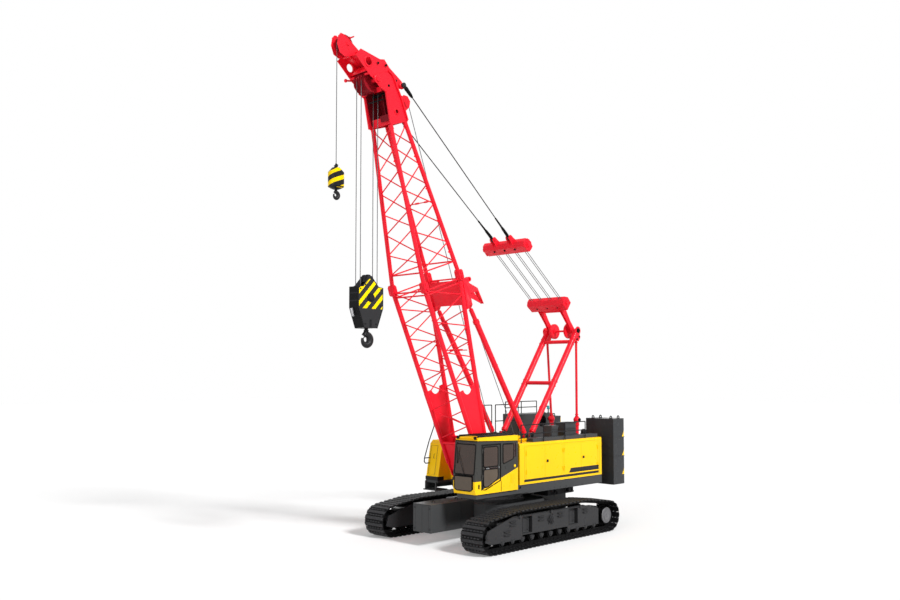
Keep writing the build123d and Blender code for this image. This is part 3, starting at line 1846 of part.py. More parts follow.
aux_rope_x = aux_centre.X + aux_sheave_radius
aux_top = aux_centre.Z - aux_drop
with BuildPart() as aux_rope:
    bar((aux_rope_x, 0, aux_top + seat_gap), (aux_rope_x, 0, aux_centre.Z - 6), rope_radius)
finish(aux_rope, "aux_rope")

with BuildPart() as aux_weight:
    with BuildSketch(Plane.XZ) as half_section:
        with BuildLine():
            Polyline(
                (aux_rope_x, aux_top),
                (aux_rope_x + aux_weight_radius * 0.55, aux_top),
                (aux_rope_x + aux_weight_radius, aux_top - 120),
                (aux_rope_x + aux_weight_radius, aux_top - aux_weight_height + 40),
                (aux_rope_x + aux_weight_radius - 60, aux_top - aux_weight_height),
                (aux_rope_x, aux_top - aux_weight_height),
                close=True,
            )
        make_face()
    revolve(half_section.sketch, axis=Axis((aux_rope_x, 0, 0), (0, 0, 1)))
finish(aux_weight, "aux_weight")

with BuildPart() as aux_hook:
    hook_at(aux_rope_x, aux_top - aux_weight_height - seat_gap, 200, 80)
finish(aux_hook, "aux_hook")

# ------------------------------------------------------------------ backstops
backstop_eye = on_boom(backstop_eye_n, 0, backstop_eye_t)
backstop_run = Vector(backstop_eye.X - backstop_foot[0], 0, backstop_eye.Z - backstop_foot[2])
backstop_dir = backstop_run.normalized()
backstop_length = backstop_run.length
rod_tail = 2450  # how far the rod reaches back from its eye
tube_bore = 3300
neck_radius = 40
rod_neck = 170  # from the eye's centre to where the full rod starts
with BuildPart() as backstop_tubes:
    for sign in (1, -1):
        foot = mirror_y(backstop_foot, sign)
        mouth = foot + backstop_dir * (backstop_length - backstop_tube_end)
        bar(foot + backstop_dir * foot_neck, mouth, backstop_tube_radius)
        bar(foot, foot + backstop_dir * (foot_neck + 20), neck_radius)
        pin(foot.X, foot.Z, foot.Y - eye_half, foot.Y + eye_half, 90)
        with Locations(Plane(origin=mouth, z_dir=backstop_dir * -1).location):
            Cylinder(
                backstop_rod_radius + seat_gap,
                tube_bore,
                align=(Align.CENTER, Align.CENTER, Align.MIN),
                mode=Mode.SUBTRACT,
            )
        pin(
            foot.X,
            foot.Z,
            foot.Y - 2 * eye_half,
            foot.Y + 2 * eye_half,
            bracket_pin_radius + seat_gap,
            mode=Mode.SUBTRACT,
        )
finish(backstop_tubes, "backstop_tubes")

with BuildPart() as backstop_rods:
    for sign in (1, -1):
        eye = Vector(backstop_eye.X, sign * boom_half_width, backstop_eye.Z)
        bar(eye - backstop_dir * rod_tail, eye - backstop_dir * rod_neck, backstop_rod_radius)
        bar(eye - backstop_dir * (rod_neck + 20), eye, neck_radius)
        pin(eye.X, eye.Z, eye.Y - eye_half, eye.Y + eye_half, backstop_eye_radius)
finish(backstop_rods, "backstop_rods")
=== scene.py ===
import bpy
import bmesh
from itertools import product
from math import acos, atan2, cos, exp, hypot, pi, radians, sin
from mathutils import Matrix, Vector


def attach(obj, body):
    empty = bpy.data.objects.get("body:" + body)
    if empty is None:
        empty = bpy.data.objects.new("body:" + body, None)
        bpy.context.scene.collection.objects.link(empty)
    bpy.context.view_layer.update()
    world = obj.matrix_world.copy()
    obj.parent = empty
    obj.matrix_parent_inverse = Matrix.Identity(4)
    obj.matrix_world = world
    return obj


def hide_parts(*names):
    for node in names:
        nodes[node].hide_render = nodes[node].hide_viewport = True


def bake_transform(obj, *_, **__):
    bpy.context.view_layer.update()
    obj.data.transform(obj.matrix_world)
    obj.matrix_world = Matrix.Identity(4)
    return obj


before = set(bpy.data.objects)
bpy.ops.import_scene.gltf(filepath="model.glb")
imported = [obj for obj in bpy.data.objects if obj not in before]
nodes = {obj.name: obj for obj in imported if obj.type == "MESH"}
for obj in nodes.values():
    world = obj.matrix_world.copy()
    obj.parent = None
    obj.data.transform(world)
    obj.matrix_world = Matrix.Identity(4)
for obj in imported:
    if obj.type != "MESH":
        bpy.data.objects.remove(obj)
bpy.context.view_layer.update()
print("frame loaded:", len(nodes), "nodes")

cameraSet = {
    "place": (22.347, 19.811, 5.12),
    "heading": 224.351,  # degrees round Z from the crane's front
    "pitch": 3.243,
    "lens": 36.4,
    "shiftUp": 0.0256,
    "farEnd": 500,
}


def addObject(name, data):
    made = bpy.data.objects.new(name, data)
    bpy.context.scene.collection.objects.link(made)
    return made


def aim(thing, direction, axis):
    thing.rotation_mode = "QUATERNION"
    thing.rotation_quaternion = Vector(direction).to_track_quat(axis, "Y")


def setCamera():
    data = bpy.data.cameras.new("camera")
    data.lens, data.sensor_width = cameraSet["lens"], 36
    data.shift_y, data.clip_end = cameraSet["shiftUp"], cameraSet["farEnd"]
    camera = addObject("camera", data)
    heading, pitch = radians(cameraSet["heading"]), radians(cameraSet["pitch"])
    camera.location = cameraSet["place"]
    aim(camera, (cos(heading) * cos(pitch), sin(heading) * cos(pitch), sin(pitch)), "-Z")
    bpy.context.scene.camera = camera


setCamera()


class Nodes:
    # a node tree being built; a value is a number, a colour, a socket or a Value
    def __init__(self, owner):
        owner.use_nodes = True
        self.tree = owner.node_tree
        self.tree.nodes.clear()

    def put(self, socket, value):
        value = getattr(value, "socket", value)
        if isinstance(value, bpy.types.NodeSocket):
            self.tree.links.new(value, socket)
        elif isinstance(value, tuple) and len(value) == 3:
            socket.default_value = (*value, 1)
        else:
            socket.default_value = value

    def add(self, kind, values=(), **settings):
        made = self.tree.nodes.new("ShaderNode" + kind)
        for key, setting in settings.items():
            setattr(made, key, setting)
        for key, value in dict(values).items():
            self.put(made.inputs[key], value)
        return made

    def place(self):
        # object coordinates, in metres
        return self.add("TexCoord").outputs["Object"]

    def noise(self, scale, detail):
        made = self.add("TexNoise", {"Scale": scale, "Detail": detail, "Vector": self.place()})
        return made.outputs["Fac"]

    def spread(self, value, low, high, outLow, outHigh):
        ends = {"From Min": low, "From Max": high, "To Min": outLow, "To Max": outHigh}
        return self.add("MapRange", {"Value": value, **ends}).outputs[0]

    def mix(self, factor, first, second):
        return self.add("Mix", {0: factor, 6: first, 7: second}, data_type="RGBA").outputs[2]

    def position(self):
        split = self.add("SeparateXYZ", {0: self.place()})
        return [Value(self, socket) for socket in split.outputs]

    def dusty(self, base, worn):
        # broad fading and fine dust in the paint
        broad = self.spread(self.noise(0.8, 3), 0.35, 0.7, 0, 1)
        fine = self.spread(self.noise(45, 6), 0.55, 0.8, 0, 0.5)
        return self.mix(fine, self.mix(broad, base, scaled(base, 0.93)), worn)


class Value:
    # a shader value that sums and comparisons work on
    def __init__(self, owner, socket):
        self.owner, self.socket = owner, socket

    def sum(self, operation, *others):
        made = self.owner.add("Math", dict(enumerate((self, *others))), operation=operation)
        return Value(self.owner, made.outputs[0])

    def within(self, low, high):
        return (self > low) & (self < high)

    __add__ = lambda self, other: self.sum("ADD", other)
    __sub__ = lambda self, other: self.sum("SUBTRACT", other)
    __mul__ = lambda self, other: self.sum("MULTIPLY", other)
    __truediv__ = lambda self, other: self.sum("DIVIDE", other)
    __gt__ = lambda self, other: self.sum("GREATER_THAN", other)
    __lt__ = lambda self, other: self.sum("LESS_THAN", other)
    __and__ = __mul__
    __or__ = lambda self, other: self.sum("MAXIMUM", other)


def scaled(colour, share):
    return tuple(channel * share for channel in colour)


def surface(name, build):
    # build(tree) gives the shader's sockets and the bumps: height, strength, distance
    material = bpy.data.materials.new(name)
    tree = Nodes(material)
    sockets, (height, strength, distance) = build(tree)
    bump = tree.add("Bump", {"Strength": strength, "Distance": distance, "Height": height})
    shader = tree.add("BsdfPrincipled", {**sockets, "Normal": bump.outputs[0]})
    tree.add("OutputMaterial", {0: shader.outputs[0]})
    return material


def paint(name, colour, rough=0.36, coat=0.1, worn=None, second=None, mask=None):
    # sprayed paint; mask(x, y, z) shows the second colour where it is 1
    def build(tree):
        tint = tree.dusty(colour, worn or scaled(colour, 0.82))
        if mask:
            tint = tree.mix(mask(*tree.position()), tint, tree.dusty(second, scaled(second, 0.8)))
        return {
            "Base Color": tint,
            "Roughness": tree.spread(tree.noise(6, 5), 0.3, 0.75, rough * 0.8, rough * 1.5),
            "Specular IOR Level": 0.18 if max(colour) > 0.2 else 0.08,
            "Coat Weight": coat * 0.6,
            "Coat Roughness": 0.12,
        }, (tree.noise(160, 2), 0.12, 0.002)

    return surface(name, build)


def steel(name, colour, rough=0.4, metallic=0.9):
    return surface(name, lambda tree: ({
        "Base Color": tree.mix(tree.noise(90, 6), colour, scaled(colour, 0.6)),
        "Metallic": metallic,
        "Roughness": tree.spread(tree.noise(36, 5), 0.3, 0.7, rough * 0.7, rough * 1.3),
    }, (tree.noise(180, 3), 0.2, 0.002)))


def castIron(name, colour, rough=0.55, depth=0.45):
    # rolled or cast steel under thin paint, with scuffed high spots
    def build(tree):
        scuff = tree.spread(tree.noise(22, 8), 0.58, 0.72, 0, 1)
        return {
            "Base Color": tree.mix(scuff, colour, scaled(colour, 2.2)),
            "Metallic": 0.25,
            "Specular IOR Level": 0.15,
            "Roughness": tree.spread(scuff, 0, 1, rough, rough * 0.6),
        }, (tree.noise(120, 6), depth, 0.003)

    return surface(name, build)


def wire(name, colour, strands=50):
    # laid strands: slanted ridges round the rope
    def build(tree):
        laid = {"Scale": strands, "Distortion": 0.4, "Vector": tree.place()}
        ridges = tree.add("TexWave", laid, wave_type="BANDS", bands_direction="DIAGONAL").outputs["Fac"]
        tint = tree.mix(ridges, scaled(colour, 0.45), colour)
        return {"Base Color": tint, "Metallic": 0.7, "Roughness": 0.45}, (ridges, 0.6, 0.004)

    return surface(name, build)


def glass(name, colour, clear=0.55):
    return surface(name, lambda tree: ({
        "Base Color": tree.mix(tree.noise(3, 4), colour, scaled(colour, 0.7)),
        "Roughness": tree.spread(tree.noise(12, 5), 0.4, 0.8, 0.02, 0.07),
        "Transmission Weight": clear,
        "IOR": 1.45,
    }, (tree.noise(2, 2), 0.02, 0.002)))


def plastic(name, colour, rough=0.5, grain=260):
    return surface(name, lambda tree: ({
        "Base Color": tree.mix(tree.noise(12, 5), colour, scaled(colour, 0.75)),
        "Roughness": rough,
        "Specular IOR Level": 0.1,
    }, (tree.noise(grain, 3), 0.25, 0.001)))


blockAt = (5.4993, 7.3017)  # X and Z of the hook block's sheave pin
auxAt = (6.6257, 10.584)  # X and Z of the auxiliary weight's middle


def cabMask(x, y, z):
    # dark between the slanted lower border and the roof
    low = x * 0.3375 + z < 2.587
    corner = (x > 2.53) & (z < 2.0)
    roof = x * -0.039 + z > 3.075
    return (low | corner | roof) < 0.5


def houseMask(x, y, z):
    # the thin stripe along the foot and the thick band towards the rear
    thin = z.within(1.79, 1.868) & (x < 0.43)
    thick = z.within(1.91, 2.06) & (z * 0.667 + x < -0.586)
    return (thin | thick) & (x > -3.53) & (y > 1.56)


def weightMask(x, y, z):
    # slanted warning marks round the rear corners
    side = y.sum("ABSOLUTE")
    run = (x + side) * -1 - 2.97
    lift = (run - 0.24 | 0) * 1.375
    part = ((z - 1.66 - lift) / 0.65).sum("FRACT")
    band = part * 0.65 < run.sum("MINIMUM", 0.24) * 1.375
    return band & ((side > 1.585) | (x < -4.945))


def blockMask(x, y, z):
    # warning stripes on the side plates above the lower weight
    stripe = ((x * 1.05 + z - 13.08) / 0.345).sum("FRACT") > 0.56
    high = z.within(blockAt[1] - 0.312, blockAt[1] + 0.53)
    return stripe & (y.sum("ABSOLUTE") > 0.19) & high


def windingMask(x, y, z):
    # warning stripes wound twice round the auxiliary weight
    angle = y.sum("ARCTAN2", x - auxAt[0])
    return (z / 0.27 + angle * (-1 / pi) + 0.14).sum("FRACT") > 0.55


red = (0.9, 0.01, 0.028)
yellow = (1.0, 0.6, 0.0)
wornYellow = (0.95, 0.5, 0.0)
blackPaint = (0.014, 0.014, 0.016)
finishes = {
    "red": paint("redPaint", red, 0.4, worn=(0.7, 0.015, 0.03)),
    # the sheaves' red darkened to about a third: painted shade on red paint
    "shadedSheaveRed": castIron("shadedSheaveRed", (0.28, 0.006, 0.014), 0.5, 0.2),
    "yellow": paint("yellowPaint", yellow, 0.34, worn=wornYellow),
    "cab": paint("cabPaint", yellow, 0.3, worn=wornYellow, second=(0.038, 0.038, 0.035), mask=cabMask),
    "house": paint("housePaint", yellow, 0.32, worn=wornYellow, second=(0.012, 0.012, 0.012), mask=houseMask),
    "grey": paint("greyPaint", (0.058, 0.06, 0.062), 0.34, worn=(0.085, 0.085, 0.085)),
    "cheek": paint("cheekPaint", (0.036, 0.036, 0.038), 0.3, 0.05, (0.06, 0.06, 0.06)),
    "weight": paint("weightPaint", (0.04, 0.042, 0.045), 0.22, 0.08, (0.07, 0.07, 0.07), yellow, weightMask),
    # shoes lighter than the near-black links under them, so the gaps between the knuckles read as painted
    # shade
    "track": castIron("trackSteel", (0.032, 0.032, 0.034)),
    "link": castIron("linkSteel", (0.005, 0.005, 0.0055), 0.7),
    "black": paint("blackPaint", blackPaint, 0.4, worn=(0.03, 0.03, 0.03)),
    "spring": plastic("springSteel", (0.7, 0.7, 0.72), 0.35),
    "machined": steel("machinedSteel", (0.42, 0.43, 0.45)),
    "disc": steel("driveSteel", (0.2, 0.2, 0.21), 0.5, 0.5),
    "wire": wire("wireRope", (0.13, 0.13, 0.135)),
    "pendant": wire("pendantRope", (0.03, 0.03, 0.032)),
    # a dark red for the head's inner plates: painted shade on the red paint
    "shadeMaroon": paint("innerShadeRed", (0.2, 0.006, 0.012), 0.5, worn=(0.12, 0.004, 0.01)),
    "glass": glass("tintedGlass", (0.12, 0.06, 0.055)),
    # the lower panes lighter and browner than the other panes: painted reflection
    "lowPaneReflection": glass("lowPaneReflection", (0.12, 0.085, 0.055), 0.2),
    "pane": glass("darkPane", (0.06, 0.033, 0.022), 0.2),
    "hook": castIron("forgedHook", (0.02, 0.02, 0.021), 0.4),
    "rubber": plastic("blackRubber", (0.004, 0.004, 0.004), 0.6),
    "plastic": plastic("greyPlastic", (0.05, 0.05, 0.055)),
    "seat": plastic("seatCloth", (0.05, 0.05, 0.055), 0.9, 700),
    "iron": castIron("engineIron", (0.16, 0.17, 0.17), 0.6),
    "beacon": glass("beaconLens", (0.02, 0.45, 0.5), 0.3),
    "blockStripes": paint("blockPaint", (0.03, 0.03, 0.032), 0.35, second=(1.0, 0.75, 0.0), mask=blockMask),
    "weightStripes": paint("weightStripes", blackPaint, 0.35, second=(1.0, 0.68, 0.0), mask=windingMask),
}
slots = {  # every other finish is black_paint
    "red": "red_paint", "shadedSheaveRed": "red_paint", "shadeMaroon": "red_paint", "yellow": "yellow_paint",
    "grey": "dark_grey_paint", "pane": "tinted_glass", "lowPaneReflection": "tinted_glass", "beacon": "tinted_glass",
    "machined": "machined_steel", "disc": "machined_steel", "spring": "machined_steel",
    "wire": "rope_steel", "hook": "hook_steel", "seat": "seat_fabric",
}
nodeFinishes = {
    "red": "boom_base_sides boom_base_lacing boom_joint_bracket boom_top_chords boom_top_lacing boom_head "
    "gantry_legs gantry_struts gantry_bail spreader backstop_tubes backstop_rods",
    "yellow": "house_right",
    "house": "house_left house_door_1 house_door_2 house_door_3 house_door_4",
    "cab": "cab_shell cab_door",
    "grey": "slewing_bed engine_hood front_step carbody carbody_ballast roof_boxes_left",
    "weight": "counterweight_tray counterweight_left counterweight_right",
    "cheek": "crawler_frame_left crawler_frame_right",
    "link": "track_left track_right running_gear_left running_gear_right",
    "black": "handrails roof_guard",
    "glass": "cab_glass cab_door_glass",
    "wire": "luffing_ropes main_ropes aux_rope",
    "pendant": "pendants",
    "shadedSheaveRed": "main_sheaves aux_sheave block_sheaves",
    "disc": "slew_ring",
    "blockStripes": "hook_block",
    "weightStripes": "aux_weight",
    "hook": "main_hook aux_hook",
    "iron": "engine_block main_drum aux_drum luffing_drum",
    "seat": "cab_seat",
}
for finish, names in nodeFinishes.items():
    for name in names.split():
        nodes[name].data.materials.clear()
        nodes[name].data.materials.append(finishes[finish])
print("materials made")

left, up, ahead = Vector((0, 1, 0)), Vector((0, 0, 1)), Vector((1, 0, 0))


def square(along):
    # one direction square to along
    return along.cross(up if abs(along.z) < 0.9 else ahead).normalized()


def spokes(along, first, sides):
    # directions round an axis, the first one given
    second = along.cross(first)
    return [first * cos(2 * pi * i / sides) + second * sin(2 * pi * i / sides) for i in range(sides)]


def arc(radius, start, end, steps):
    # points on an arc from start to end, both in half turns
    angles = [pi * (start + (end - start) * i / steps) for i in range(steps + 1)]
    return [(radius * cos(angle), radius * sin(angle)) for angle in angles]


def hoop(radius, count):
    return arc(radius, 0, 2, count)[1:]


class Piece:
    # gathers shapes and hands them in under one name; metres, but profiles and bolts in millimetres
    def __init__(self, name, finish, body="upperworks", slot=None):
        self.name, self.finish, self.body = name, finish, body
        self.slot = slot or slots.get(finish, "black_paint")
        self.bm = bmesh.new()

    def box(self, low, high, bevel=0.0, turn=None):
        # an upright box, its edges rounded by bevel; turn moves the whole box
        bm = self.bm
        verts = [bm.verts.new(corner) for corner in product(*zip(low, high))]
        for face in ("0132", "4675", "0451", "2376", "0264", "1573"):
            bm.faces.new([verts[int(i)] for i in face])
        if bevel:
            edges = list({edge for vert in verts for edge in vert.link_edges})
            rule = {"segments": 2, "affect": "EDGES", "clamp_overlap": True}
            cut = bmesh.ops.bevel(bm, geom=edges, offset=bevel, **rule)
            kept = {vert for vert in verts if vert.is_valid}
            verts = list(kept.union(*[face.verts for face in cut["faces"]]))
        if turn is not None:
            bmesh.ops.transform(bm, matrix=turn, verts=verts)

    def boxes(self, *rows):
        for row in rows:
            self.box(*row)

    def block(self, centre, size, bevel=0.0):
        # a box by its middle and half sizes
        centre, size = Vector(centre), Vector(size)
        self.box(centre - size, centre + size, bevel)

    def skin(self, rings, loop=False, closed=True):
        # walls between neighbouring rings; a ring of one point is a tip
        rings = [[self.bm.verts.new(point) for point in points] for points in rings]
        for lower, upper in zip(rings, rings[1:] + rings[:loop]):
            for i in range(max(len(lower), len(upper))):
                corners = ((lower, i), (lower, i + 1), (upper, i + 1), (upper, i))
                wall = dict.fromkeys(row[j % len(row)] for row, j in corners)
                self.bm.faces.new(list(wall))
        if closed and not loop:
            for end in (rings[0][::-1], rings[-1]):
                if len(end) > 1:
                    self.bm.faces.new(end)

    def tube(self, points, radius, sides=10, closed=True):
        # a round bar through points; radius is one number or one for each point
        points = [Vector(point) for point in points]
        radii = radius if isinstance(radius, (list, tuple)) else [radius] * len(points)
        rings = []
        for index, point in enumerate(points):
            before, after = points[max(index - 1, 0)], points[min(index + 1, len(points) - 1)]
            along = (after - before).normalized()
            first = (first - along * first.dot(along)).normalized() if index else square(along)
            rings.append([point + spoke * radii[index] for spoke in spokes(along, first, sides)])
        self.skin(rings, closed=closed)

    def turned(self, spot, axis, profile, sides=24, loop=False):
        # a turned part; profile: distance along the axis, radius, distance, radius and so on
        spot, axis = Vector(spot), Vector(axis).normalized()
        rings = []
        for along, radius in zip(profile[::2], profile[1::2]):
            centre = spot + axis * (along / 1000)
            out = spokes(axis, square(axis), sides if radius else 1)
            rings.append([centre + spoke * (radius / 1000) for spoke in out])
        self.skin(rings, loop)

    def prism(self, front, back):
        self.skin([front, back])

    def plate(self, outline, toPlace, depth):
        # a flat plate: outline in its own plane, toPlace(u, v, w) gives its points
        self.prism(*[[toPlace(u, v, w) for u, v in outline] for w in (depth / 2, -depth / 2)])

    def strip(self, line, half, toPlace, depth):
        # flat bars along a line in a plane
        for start, end in zip(line, line[1:]):
            start, end = Vector(start), Vector(end)
            along = (end - start).normalized() * half
            across = Vector((-along.y, along.x))
            self.plate([start + across, start - across, end - across, end + across], toPlace, depth)

    def bolts(self, spots, axis, radius, height):
        # bolt heads with their washers
        for spot in spots:
            self.turned(spot, axis, (0, radius * 1.25, height * 0.25, radius * 1.25), 12)
            self.turned(spot, axis, (0, radius, height * 0.85, radius, height, radius * 0.8), 6)

    def mirror(self):
        # the same again on the right side
        bm = self.bm
        copied = bmesh.ops.duplicate(bm, geom=bm.verts[:] + bm.edges[:] + bm.faces[:])["geom"]
        for vert in copied:
            if isinstance(vert, bmesh.types.BMVert):
                vert.co.y *= -1

    def done(self, replaces=None, smooth=40):
        bmesh.ops.recalc_face_normals(self.bm, faces=self.bm.faces)
        mesh = bpy.data.meshes.new(self.name)
        self.bm.to_mesh(mesh)
        self.bm.free()
        piece = addObject(self.name, mesh)
        mesh.materials.append(finishes[self.finish])
        mesh.set_sharp_from_angle(angle=radians(smooth))
        mesh.polygons.foreach_set("use_smooth", [True] * len(mesh.polygons))
        if self.body:
            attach(piece, self.body)
        if replaces:
            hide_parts(replaces)
        return piece


def onSide(y):
    # plane of the crane's length and height at a width
    return lambda u, v, w: Vector((u, y + w, v))


def rounded(points, radius, steps=3):
    # the outline with its corners rounded
    made = []
    for index, point in enumerate(points):
        point, before = Vector(point), Vector(points[index - 1])
        after = Vector(points[(index + 1) % len(points)])
        reach = min(radius, (before - point).length * 0.45, (after - point).length * 0.45)
        start = point + (before - point).normalized() * reach
        end = point + (after - point).normalized() * reach
        for share in [step / steps for step in range(steps + 1)]:
            made.append(start.lerp(point, share).lerp(point.lerp(end, share), share))
    return made


tracks = {
    "gauge": 4.2,
    "shoeWidth": 0.84,
    "shoeCount": 75,
    "shoeThickness": 0.045,
    "rounds": [(-2.9, 0.5, 0.5), (2.9, 0.5, 0.5), (1.65, 0.25, 0.9), (-1.65, 0.25, 0.9)],  # x, z, radius
    "roundSteps": 48,
}


def beltLine(inset, count):
    # evenly spaced points round the belt, on its four rounds
    rounds, steps = tracks["rounds"], tracks["roundSteps"]
    turns = []
    for (x1, z1, r1), (x2, z2, r2) in zip(rounds, rounds[1:] + rounds[:1]):
        turns.append(atan2(z2 - z1, x2 - x1) - acos((r1 - r2) / hypot(x2 - x1, z2 - z1)))
    line = []
    for index, (x, z, radius) in enumerate(rounds):
        turn = (turns[index] - turns[index - 1]) % (2 * pi)
        for step in range(steps + 1):
            angle = turns[index - 1] + turn * step / steps
            line.append(Vector((x + (radius - inset) * cos(angle), z + (radius - inset) * sin(angle))))
    line.append(line[0])
    lengths = [(b - a).length for a, b in zip(line, line[1:])]
    points = []
    for shoe in range(count):
        distance, index = sum(lengths) * shoe / count, 0
        while distance > lengths[index]:
            distance -= lengths[index]
            index += 1
        points.append(line[index].lerp(line[index + 1], distance / lengths[index]))
    return points


def makeTracks():
    count, thick, half = tracks["shoeCount"], tracks["shoeThickness"], tracks["shoeWidth"] / 2
    points = beltLine(thick, count)
    for name, middle in (("track_left", tracks["gauge"] / 2), ("track_right", -tracks["gauge"] / 2)):
        shoes = Piece(name + "_shoes", "track", "undercarriage")
        links = Piece(name + "_links_and_gap_shade", "link", "undercarriage")
        for index in range(count):
            first, last = points[index], points[(index + 1) % count]
            pitch, centre = (last - first).length, (first + last) / 2
            along = (last - first).normalized()
            out = Vector((along.y, -along.x))

            def put(piece, a, b, y1, y2, h1, h2, slope=0.0):
                # a block on the shoe: a, b in pitches along it, y across it, h above the belt
                corners = ((a * pitch, h1), (b * pitch, h1), (b * pitch - slope, h2), (a * pitch + slope, h2))
                spots = [centre + along * u + out * h for u, h in corners]
                piece.prism(*[[(spot.x, middle + y, spot.y) for spot in spots] for y in (y1, y2)])

            # near-black base plate under the shoe, seen between pad and knuckles: painted shade in the gaps
            put(links, -0.47, 0.47, -half, half, 0.0, thick * 0.3, 0.002)
            # the flat pad in the middle of the shoe, its ends set in
            put(shoes, -0.27, 0.27, -half + 0.012, half - 0.012, thick * 0.2, thick, 0.008)
            # a row of knuckles over the hinge, with square gaps between them
            for step in range(6):
                y = -half + 0.03 + (step + 0.25 + 0.5 * (index % 2)) * (2 * half - 0.06) / 6.25
                put(shoes, 0.36, 0.64, y - 0.038, y + 0.038, -0.012, thick * 0.86, 0.01)
            # chain links and the guide horns inside the belt
            for y in (-0.115, 0.115):
                put(links, -0.47, 0.47, y - 0.035, y + 0.035, -0.089, 0.002)
            put(links, -0.5, -0.3, -0.16, 0.16, -0.06, -0.02)
        shoes.done(name)
        links.done()


makeTracks()
print("tracks made")

cab = {
    "side": 1.71,
    "seal": 0.017,
    "glassDepth": 0.008,
    "doorWindow": [(1.785, 2.40), (1.785, 2.985), (2.425, 2.985), (2.425, 2.40)],
    "doorLow": [(1.785, 2.03), (1.785, 2.33), (2.425, 2.33), (2.425, 1.86), (2.33, 1.80), (2.2, 1.83)],
    "quarter": [(1.555, 2.44), (1.555, 3.03), (1.05, 3.02), (1.07, 2.57)],
    "frontHigh": [(0.89, 2.2), (1.68, 2.2), (1.68, 3.07), (0.89, 3.07)],
    "frontLow": [(0.89, 1.76), (0.97, 1.72), (1.52, 1.72), (1.6, 1.76), (1.6, 2.14), (0.89, 2.14)],
    # cushion, back and head rest: middle, size, tilt
    "cushions": [
        ((1.53, 1.275, 2.2), (0.52, 0.5, 0.15), -3),
        ((1.25, 1.275, 2.55), (0.6, 0.46, 0.13), -101),
        ((1.13, 1.275, 2.93), (0.18, 0.26, 0.1), -100),
    ],
}


def cabFront(u, v, w):
    # on the cab's front, upright below the belt and raked above it
    rise = max(0, v - 2.24) / 0.91
    return Vector((2.8 - 0.09 * rise + w, u, v))


def addSeal(seals, outline, toPlace, radius):
    # a rubber seal round a window
    points = [toPlace(u, v, 0) for u, v in outline]
    seals.tube(points + points[:1], radius, 8, closed=False)


def makeWindows(rows, seals, corner):
    for pane, outline, toPlace in rows:
        pane.plate(rounded(cab[outline], corner), toPlace, cab["glassDepth"])
        addSeal(seals, rounded(cab[outline], corner), toPlace, cab["seal"])
    for pane in dict.fromkeys(row[0] for row in rows):
        pane.done()


